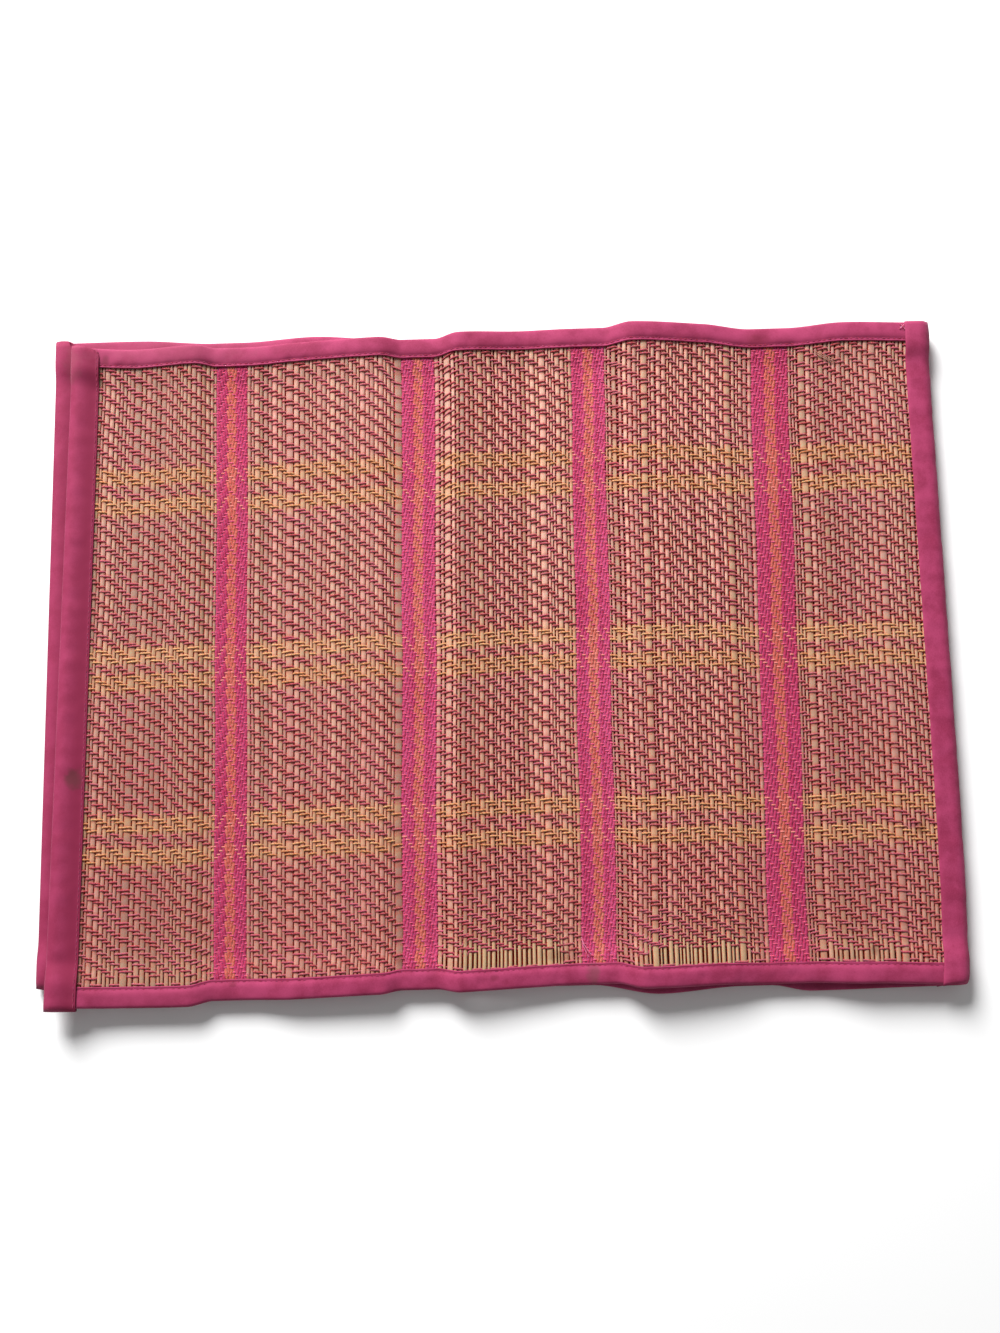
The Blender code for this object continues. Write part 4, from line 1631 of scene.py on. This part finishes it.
@dataclass
class Tapes:
    """The five tapes and their stitches."""

    fold: Fold
    spacing: float = 1.8 * MM
    lower_spacing: float = 3.6 * MM  # in the lower layer, where little shows
    stitch: float = 2.8 * MM
    stitch_dip: float = 0.22  # how much lower a stitch's ends lie than its middle, in millimetres
    end_round: float = 3.6 * MM  # the round ends of the tapes that lie over the edge tapes
    end_corner: float = 5.5 * MM  # the rounded far corners of the end tapes' inner edges
    end_cut: float = 6.5 * MM  # how much narrower the end tapes are there
    longer: float = 1.2 * MM  # how far the end tapes run past the near edge tape
    edge_seam: float = 7.5 * MM  # how far in from the mat's edges the stitches are
    end_seam: float = 11.9 * MM
    strip_seam: float = 1.1 * MM  # from the inner edge of the fold's strip
    pressed_height: float = 1.6 * MM  # an edge tape's height where another tape lies over it
    press_length: float = 1.0 * MM  # how far from that tape it begins to lie lower
    least_inside: float = 0.9 * MM  # the least height of a tape's inner side over the weave

    @staticmethod
    def places(start: float, end: float, spacing: float) -> np.ndarray:
        """Places along a tape, evenly spaced, as a row."""
        return np.linspace(start, end, round((end - start) / spacing) + 1)[None, :]

    def bound(self, name: str, run: np.ndarray, profile: np.ndarray, seed: int, place: Place,
              shade: np.ndarray, creases: Sequence[Crease] = (),
              covered: np.ndarray | float = 0.0) -> Tape:
        """A tape folded over an edge.

        Args:
            name: the tape's name.
            run: places along it.
            profile: its outer side across it.
            seed: which unevenness it has.
            place: makes flat points of places along it, inward places and heights.
            shade: how much painted shade darkens it at each line of the profile.
            creases: its creases, whose table X lies on the upper layer.
            covered: how much another tape presses it flat, at each place along it.

        Returns:
            The tape.
        """
        inward, height = profile[:, :1], profile[:, 1:]
        width = inward.max()
        crown = np.clip((np.abs(height) - 1.5) / 0.5, 0.0, 1.0) * (inward > 0)
        soft = 0.2 * ripple(run, (23.0, 37.0, 61.0), seed) + 0.12 * ripple(run, (9.0, 13.0), seed + 1)
        seam = 0.1 + 0.1 * ripple(run, (7.0, 10.0), seed + 3)  # how deep the stitches draw it in
        drawn = bump_at(inward, width - 1.3, 2.2) * seam
        for crease in creases:
            middle = self.fold.along(crease.x, Layer.UPPER)
            trough = bump_at(run, middle, crease.half_width * MM) * (height > 0)
            drawn = drawn + crease.depth * trough * bump_at(inward, crease.inward, crease.half_reach)
        rim = bump_at(inward, width - 0.4, 0.6)
        height = (height + np.sign(height) * (crown * soft - drawn)) * MM
        flattened = np.sign(height) * np.minimum(np.abs(height), self.pressed_height)
        height = height + (flattened - height) * covered
        inward = (inward + rim * ripple(run, (7.0, 17.0, 41.0), seed + 2) * 0.25) * MM
        run = np.broadcast_to(run, inward.shape)
        radius = np.hypot(inward, height)
        shrunk = np.where(inward < 0, 1 - TAPE_THICKNESS / radius, 1.0)
        thinner = np.sign(height) * np.maximum(np.abs(height) - TAPE_THICKNESS, self.least_inside)
        within = place(run, inward * shrunk, np.where(inward < 0, height * shrunk, thinner))
        return Tape(name, place(run, inward, height), within, shade)

    def edge(self, side: Side, bench: Bench, finish: TapeFinish) -> bpy.types.Object:
        """The tape folded over one long edge, round the fold with it."""
        def place(run: np.ndarray, inward: np.ndarray, height: np.ndarray) -> np.ndarray:
            """Flat points from places along the edge."""
            return np.stack([run, (REED_REACH - inward) * side.value, height], axis=-1)

        hidden = 0.4 * MM
        lower, upper = (self.fold.length(layer) - hidden for layer in (Layer.LOWER, Layer.UPPER))
        border = self.fold.quarter + FOLD_STRIP_WALL
        run = np.hstack([self.places(-lower, -border, self.lower_spacing)[:, :-1],
                         self.places(-border, upper, self.spacing)])
        seed = 10 if side is Side.FAR else 20
        name = f"{side.name.lower()}_edge_cloth"
        profile = EDGE_PROFILES[side]
        shade = np.zeros(len(profile))
        # painted shade along the far tape's groove by its stitches
        if side is Side.FAR:
            shade = 0.3 * bump_at(profile[:, 0], 6.4, 2.6)
        covered = smooth_step(1 - (np.abs(run) - border) / self.press_length)
        for layer in Layer:
            past = layer.value * run - self.fold.length(layer) + END_TAPE_WALL
            covered = covered + smooth_step(past / self.press_length + 1)
        tape = self.bound(name, run, profile, seed, place, shade, CREASES[side], covered)
        return tape.build(bench, finish)

    def roundness(self, run: np.ndarray) -> np.ndarray:
        """How high a tape over the edge tapes still stands past the mat's edge, as a share."""
        past = np.maximum(np.abs(run) - REED_REACH, 0.0) / self.end_round
        return np.sqrt(1 - past ** 2)

    def end(self, layer: Layer, bench: Bench, finish: TapeFinish) -> bpy.types.Object:
        """The tape folded over one free end, over the ends of the edge tapes."""
        length = self.fold.length(layer)
        start = -REED_REACH - TAPE_OUTSIDE - self.longer
        stop = REED_REACH + TAPE_OUTSIDE

        def place(run: np.ndarray, inward: np.ndarray, height: np.ndarray) -> np.ndarray:
            """Flat points from places along the end."""
            climb = OVER_TAPE_CLIMB * over_edge_tape(run)
            grown = np.where(inward < 0, 1 + climb / TAPE_OUTSIDE, 1.0)
            lifted = np.where(inward < 0, height * grown, height + np.sign(height) * climb)
            cut = np.clip(1 - (stop - run) / self.end_corner, 0.0, 1.0)
            narrower = self.end_cut * (1 - np.sqrt(1 - cut ** 2))
            narrower = narrower * smooth_step((inward / MM - 5) / 8)
            along = (length - inward + narrower) * layer.value
            return np.stack([along, run, lifted * self.roundness(run)], axis=-1)

        seed = 30 if layer is Layer.UPPER else 40
        name = f"{layer.name.lower()}_end_cloth"
        # painted shade: the end tape darker, most on its inner half where it slopes down to the weave
        shade = 0.42 + 0.55 * smooth_step((END_PROFILE[:, 0] - 3.5) / 6)
        run = self.places(start, stop, self.spacing if layer is Layer.UPPER else self.lower_spacing)
        return self.bound(name, run, END_PROFILE, seed, place, shade).build(bench, finish)

    def strip(self, bench: Bench, finish: TapeFinish) -> bpy.types.Object:
        """The strip round the outside of the fold."""
        reach = REED_REACH + TAPE_OUTSIDE
        run = self.places(-reach - 0.4 * MM, reach - 0.5 * MM, self.spacing)
        inset, rise = STRIP_RIM[:, :1], STRIP_RIM[:, 1:]
        by_rim = bump_at(inset, 0.6, 1.6)
        soft = 0.16 * ripple(run, (19.0, 31.0, 53.0), 50) + 0.1 * ripple(run, (8.0, 12.5), 51)
        seam = 0.05 + 0.05 * ripple(run, (7.0, 10.0), 53)
        height = (rise + soft * (inset > 1.5) - by_rim * seam) * MM
        inset = (inset + by_rim * 0.22 * ripple(run, (5.0, 7.5, 29.0), 52)) * MM
        upper = self.fold.quarter + FOLD_STRIP_WALL - inset
        turn = np.minimum(upper / self.fold.radius, math.pi / 2)
        climb = OVER_TAPE_CLIMB * over_edge_tape(run) * np.sin(turn)  # none on the nose of the fold
        pulled = 1.5 * MM * smooth_step((-run / MM - 140) / 29)  # its near end is cut askew
        askew = run + pulled * inset / inset[-1]
        rounded = self.roundness(run)
        sides = []
        for lift in (height, np.maximum(height - TAPE_THICKNESS, 0.95 * MM)):
            wall = np.stack(np.broadcast_arrays(upper, askew, (lift + climb) * rounded), axis=-1)
            on_nose = (0.0 * run, askew[-1:], (lift * rounded)[-1:])
            middle = np.stack(np.broadcast_arrays(*on_nose), axis=-1)
            sides.append(np.concatenate([wall * (-1.0, 1.0, 1.0), middle, wall[::-1]]))
        return Tape("fold_cloth", *sides, np.zeros(len(sides[0]))).build(bench, finish)

    def stitch_lines(self) -> list[np.ndarray]:
        """Every stitch as a short line in the flat, on the outer side of both layers."""
        lines = []
        border = self.fold.quarter + FOLD_STRIP_WALL
        for side in Side:
            across = (REED_REACH - self.edge_seam) * side.value
            for layer in Layer:
                stop = self.fold.length(layer) - END_TAPE_WALL
                for middle in np.arange(border, stop, self.stitch):
                    lines.append(self.short(middle * layer.value, across, 1.42, True))
        seams = [(self.fold.length(layer) - self.end_seam, layer, 1.3) for layer in Layer]
        seams += [(border - self.strip_seam, layer, 1.5) for layer in Layer]
        for place, layer, height in seams:
            for middle in np.arange(-REED_REACH, REED_REACH, self.stitch):
                lines.append(self.short(place * layer.value, middle, height, False))
        return lines

    def short(self, along: float, across: float, height: float, lengthwise: bool) -> np.ndarray:
        """One stitch's three points.

        Args:
            along: its middle.
            across: its middle.
            height: how high its thread lies, in millimetres.
            lengthwise: True where it runs along the mat.

        Returns:
            Its points, as `Strands` has them.
        """
        half = 0.4 * self.stitch
        climb = 0.0 if lengthwise else OVER_TAPE_CLIMB * float(over_edge_tape(np.array(across)))
        points = []
        for off, dip in ((-half, self.stitch_dip), (0.0, 0.0), (half, self.stitch_dip)):
            place = (along + off, across) if lengthwise else (along, across + off)
            points.append((*place, (height - dip) * MM + climb, 0.0))
        return np.array(points)

    def stitches(self, bench: Bench, finish: YarnFinish) -> bpy.types.Object:
        """All the stitches as one piece."""
        strands = Strands("stitches", 0.42 * MM, 0.3 * MM, 3, per_row=40)
        strands.lines = self.stitch_lines()
        return strands.build(bench, finish, loose=True)


@dataclass
class LooseThreads:
    """Thread ends that stand out of the weave and the tapes, listed one by one.

    A thread is a list of points: table X, across and height over the weave, in millimetres.
    """

    fold: Fold
    pale: tuple[Thread, ...] = (
        ((36.6, -145.6, 1.3), (37.8, -149.4, 1.9), (39.6, -152.4, 1.9), (41.2, -154.4, 1.3)),
        ((36.8, -146.2, 1.2), (37.4, -150.2, 1.6), (38.8, -153.2, 1.5), (39.8, -155.4, 0.9)),
        ((208.0, 167.2, 2.35), (209.4, 165.6, 2.55), (210.6, 164.0, 2.4)),
        ((207.6, 164.4, 2.3), (209.0, 165.4, 2.5), (210.2, 166.8, 2.35)),
        ((-130.4, -156.4, 1.6), (-129.6, -155.8, 2.4), (-128.6, -156.2, 2.3), (-128.8, -157.2, 1.7)),
    )
    fibre: tuple[Thread, ...] = (
        ((163.6, 154.4, 1.1), (166.8, 152.0, 1.4), (170.6, 149.2, 1.5), (174.0, 147.4, 1.1)),
        ((165.0, 154.2, 1.1), (169.0, 151.4, 1.4), (173.4, 148.8, 1.1)),
        ((164.2, 153.0, 1.1), (168.0, 150.2, 1.4), (172.0, 147.6, 1.1)),
    )

    def build(self, bench: Bench, finishes: dict[str, YarnFinish]) -> list[bpy.types.Object]:
        """Builds them, one piece for each colour.

        Args:
            bench: what the pieces are made with.
            finishes: the finishes by colour.

        Returns:
            The pieces.
        """
        pieces = []
        for name, threads, colour in (
                ("loose_threads", self.pale, "pale"), ("loose_fibres", self.fibre, "fibre")):
            strands = Strands(name, 0.4 * MM, 0.3 * MM, SIDES[Layer.UPPER])
            strands.lines = [
                np.array([(self.fold.along(x, Layer.UPPER), across * MM, height * MM, 0.0)
                          for x, across, height in thread]) for thread in threads]
            pieces.append(strands.build(bench, finishes[colour], loose=True))
        return pieces


# The room

@dataclass
class Studio:
    """The table top, the light and the camera."""

    light_from: tuple[float, float] = (-0.40, 0.917)
    light_height: float = 34.0  # degrees
    light_distance: float = 2.3
    light_width: float = 1.2
    light_strength: float = 6.74  # watts a square metre on the mat's middle, square to the light
    fill: float = 0.25
    floor_drop: float = 0.2 * MM  # how far the table top stays under the solids
    camera_place: tuple[float, float, float] = (1.65 * MM, -94.27 * MM, 659.25 * MM)  # as in the tables
    camera_height: float = 82.318  # degrees
    camera_yaw: float = 0.04165
    camera_roll: float = -0.07009
    focal: float = 1300.0  # pixels in the photo's frame

    def floor(self) -> bpy.types.Object:
        """A wide level table top under the mat."""
        bpy.ops.mesh.primitive_grid_add(x_subdivisions=4, y_subdivisions=4, size=6.0)
        floor = bpy.context.object
        floor.name = floor.data.name = "table_top"
        for vertex in floor.data.vertices:
            vertex.co.z = CAD_BOX[0].z - self.floor_drop
        floor.data.materials.append(FloorFinish().material())
        return floor

    def light(self) -> None:
        """One broad soft light at the far left and an even sky."""
        height = math.radians(self.light_height)
        flat = math.cos(height)
        towards = Vector((self.light_from[0] * flat, self.light_from[1] * flat, math.sin(height)))
        window = bpy.data.lights.new("window light", "AREA")
        window.shape = "DISK"
        window.size = self.light_width
        window.energy = self.light_strength * math.pi * self.light_distance ** 2
        lamp = bpy.data.objects.new("window light", window)
        lamp.location = towards.normalized() * self.light_distance
        lamp.rotation_euler = towards.to_track_quat("Z", "Y").to_euler()
        bpy.context.scene.collection.objects.link(lamp)
        world = bpy.data.worlds.new("even sky")
        world.use_nodes = True
        background = world.node_tree.nodes["Background"]
        background.inputs["Color"].default_value = (1.0, 1.0, 1.0, 1.0)
        background.inputs["Strength"].default_value = self.fill
        bpy.context.scene.world = world
        bpy.context.scene.view_settings.view_transform = "Standard"

    def camera(self) -> None:
        """The camera at the photograph's place."""
        tilt = math.radians(90 - self.camera_height)
        spin = Matrix.Rotation(self.camera_yaw, 3, "Z")
        right = spin @ Vector((1, 0, 0))
        forward = spin @ Vector((0, math.sin(tilt), -math.cos(tilt)))
        up = spin @ Vector((0, math.cos(tilt), math.sin(tilt)))
        cosine, sine = math.cos(self.camera_roll), math.sin(self.camera_roll)
        level, high = right * cosine + up * sine, up * cosine - right * sine
        data = bpy.data.cameras.new("camera")
        data.sensor_width = 36.0
        data.lens = data.sensor_width * self.focal / IMAGE_HEIGHT
        data.clip_start = 0.01
        camera = bpy.data.objects.new("camera", data)
        turned = Matrix((level, high, -forward)).transposed().to_4x4()
        place = Vector(self.camera_place) - Vector((BOX_MIDDLE_X, BOX_MIDDLE_Y, 0.0))
        camera.matrix_world = Matrix.Translation(place) @ turned
        bpy.context.scene.collection.objects.link(camera)
        bpy.context.scene.camera = camera


def triangles(piece: bpy.types.Object) -> int:
    """How many triangles a piece has."""
    return sum(len(face.vertices) - 2 for face in piece.data.polygons)


def main() -> None:
    """Builds every piece, ties it to the frame and sets up the room."""
    logging.basicConfig(level=logging.INFO, format="%(name)s: %(message)s")
    Finish.make_groups()
    fold = Fold()
    bench = Bench(fold, sweep_tree(), reed_tree(), np.random.default_rng(7))
    plans = {layer: WeavePlan.of(layer, fold, bench.rng) for layer in Layer}
    cottons = {
        "rose": YarnFinish("rose warp cotton", (0.375, 0.104, 0.122), (0.30, 0.03, 0.032), stained=0.6),
        "yellow": YarnFinish("yellow warp cotton", (0.57, 0.30, 0.145), (0.37, 0.125, 0.05),
                             dye=(0.7, 0.2, 0.19)),
        "pink": YarnFinish("pink band cotton", (0.56, 0.076, 0.185), (0.38, 0.027, 0.085), outer=0.5),
        "orange": YarnFinish("orange band cotton", (0.65, 0.19, 0.15), (0.44, 0.075, 0.06), outer=0.5),
        "pale": YarnFinish("pale loose cotton", (0.70, 0.20, 0.31), (0.46, 0.10, 0.17)),
        "fibre": YarnFinish("pale loose fibre", (0.44, 0.21, 0.17), (0.30, 0.11, 0.09)),
    }

    weave = [Reeds(plans).build(bench, ReedFinish())]
    weave += Warp(plans).build(bench, cottons)
    weave += BandWefts(plans).build(bench, cottons)
    weave += LooseThreads(fold).build(bench, cottons)
    for piece in weave:
        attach(piece, "root")
        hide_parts("woven_mat")

    tapes = Tapes(fold)
    finish = TapeFinish("rose tape")
    cloths = {
        "far_edge_tape": tapes.edge(Side.FAR, bench, finish),
        "near_edge_tape": tapes.edge(Side.NEAR, bench, finish),
        "upper_end_tape": tapes.end(Layer.UPPER, bench, finish),
        "lower_end_tape": tapes.end(Layer.LOWER, bench, finish),
        "fold_strip": tapes.strip(bench, finish),
    }
    thread = YarnFinish("stitching thread", (0.34, 0.045, 0.11), (0.17, 0.012, 0.045))
    stitches = tapes.stitches(bench, thread)
    for node, piece in cloths.items():
        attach(piece, "root")
        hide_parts(node)
    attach(stitches, "root")
    pieces = [*weave, *cloths.values(), stitches]
    for piece in pieces:
        LOG.info("%s: %d triangles", piece.name, triangles(piece))
    LOG.info("all: %d triangles", sum(triangles(piece) for piece in pieces))

    length = fold.length(Layer.UPPER) + fold.length(Layer.LOWER)

    studio = Studio()
    studio.floor()
    studio.light()
    studio.camera()


if __name__ == "__main__":
    main()
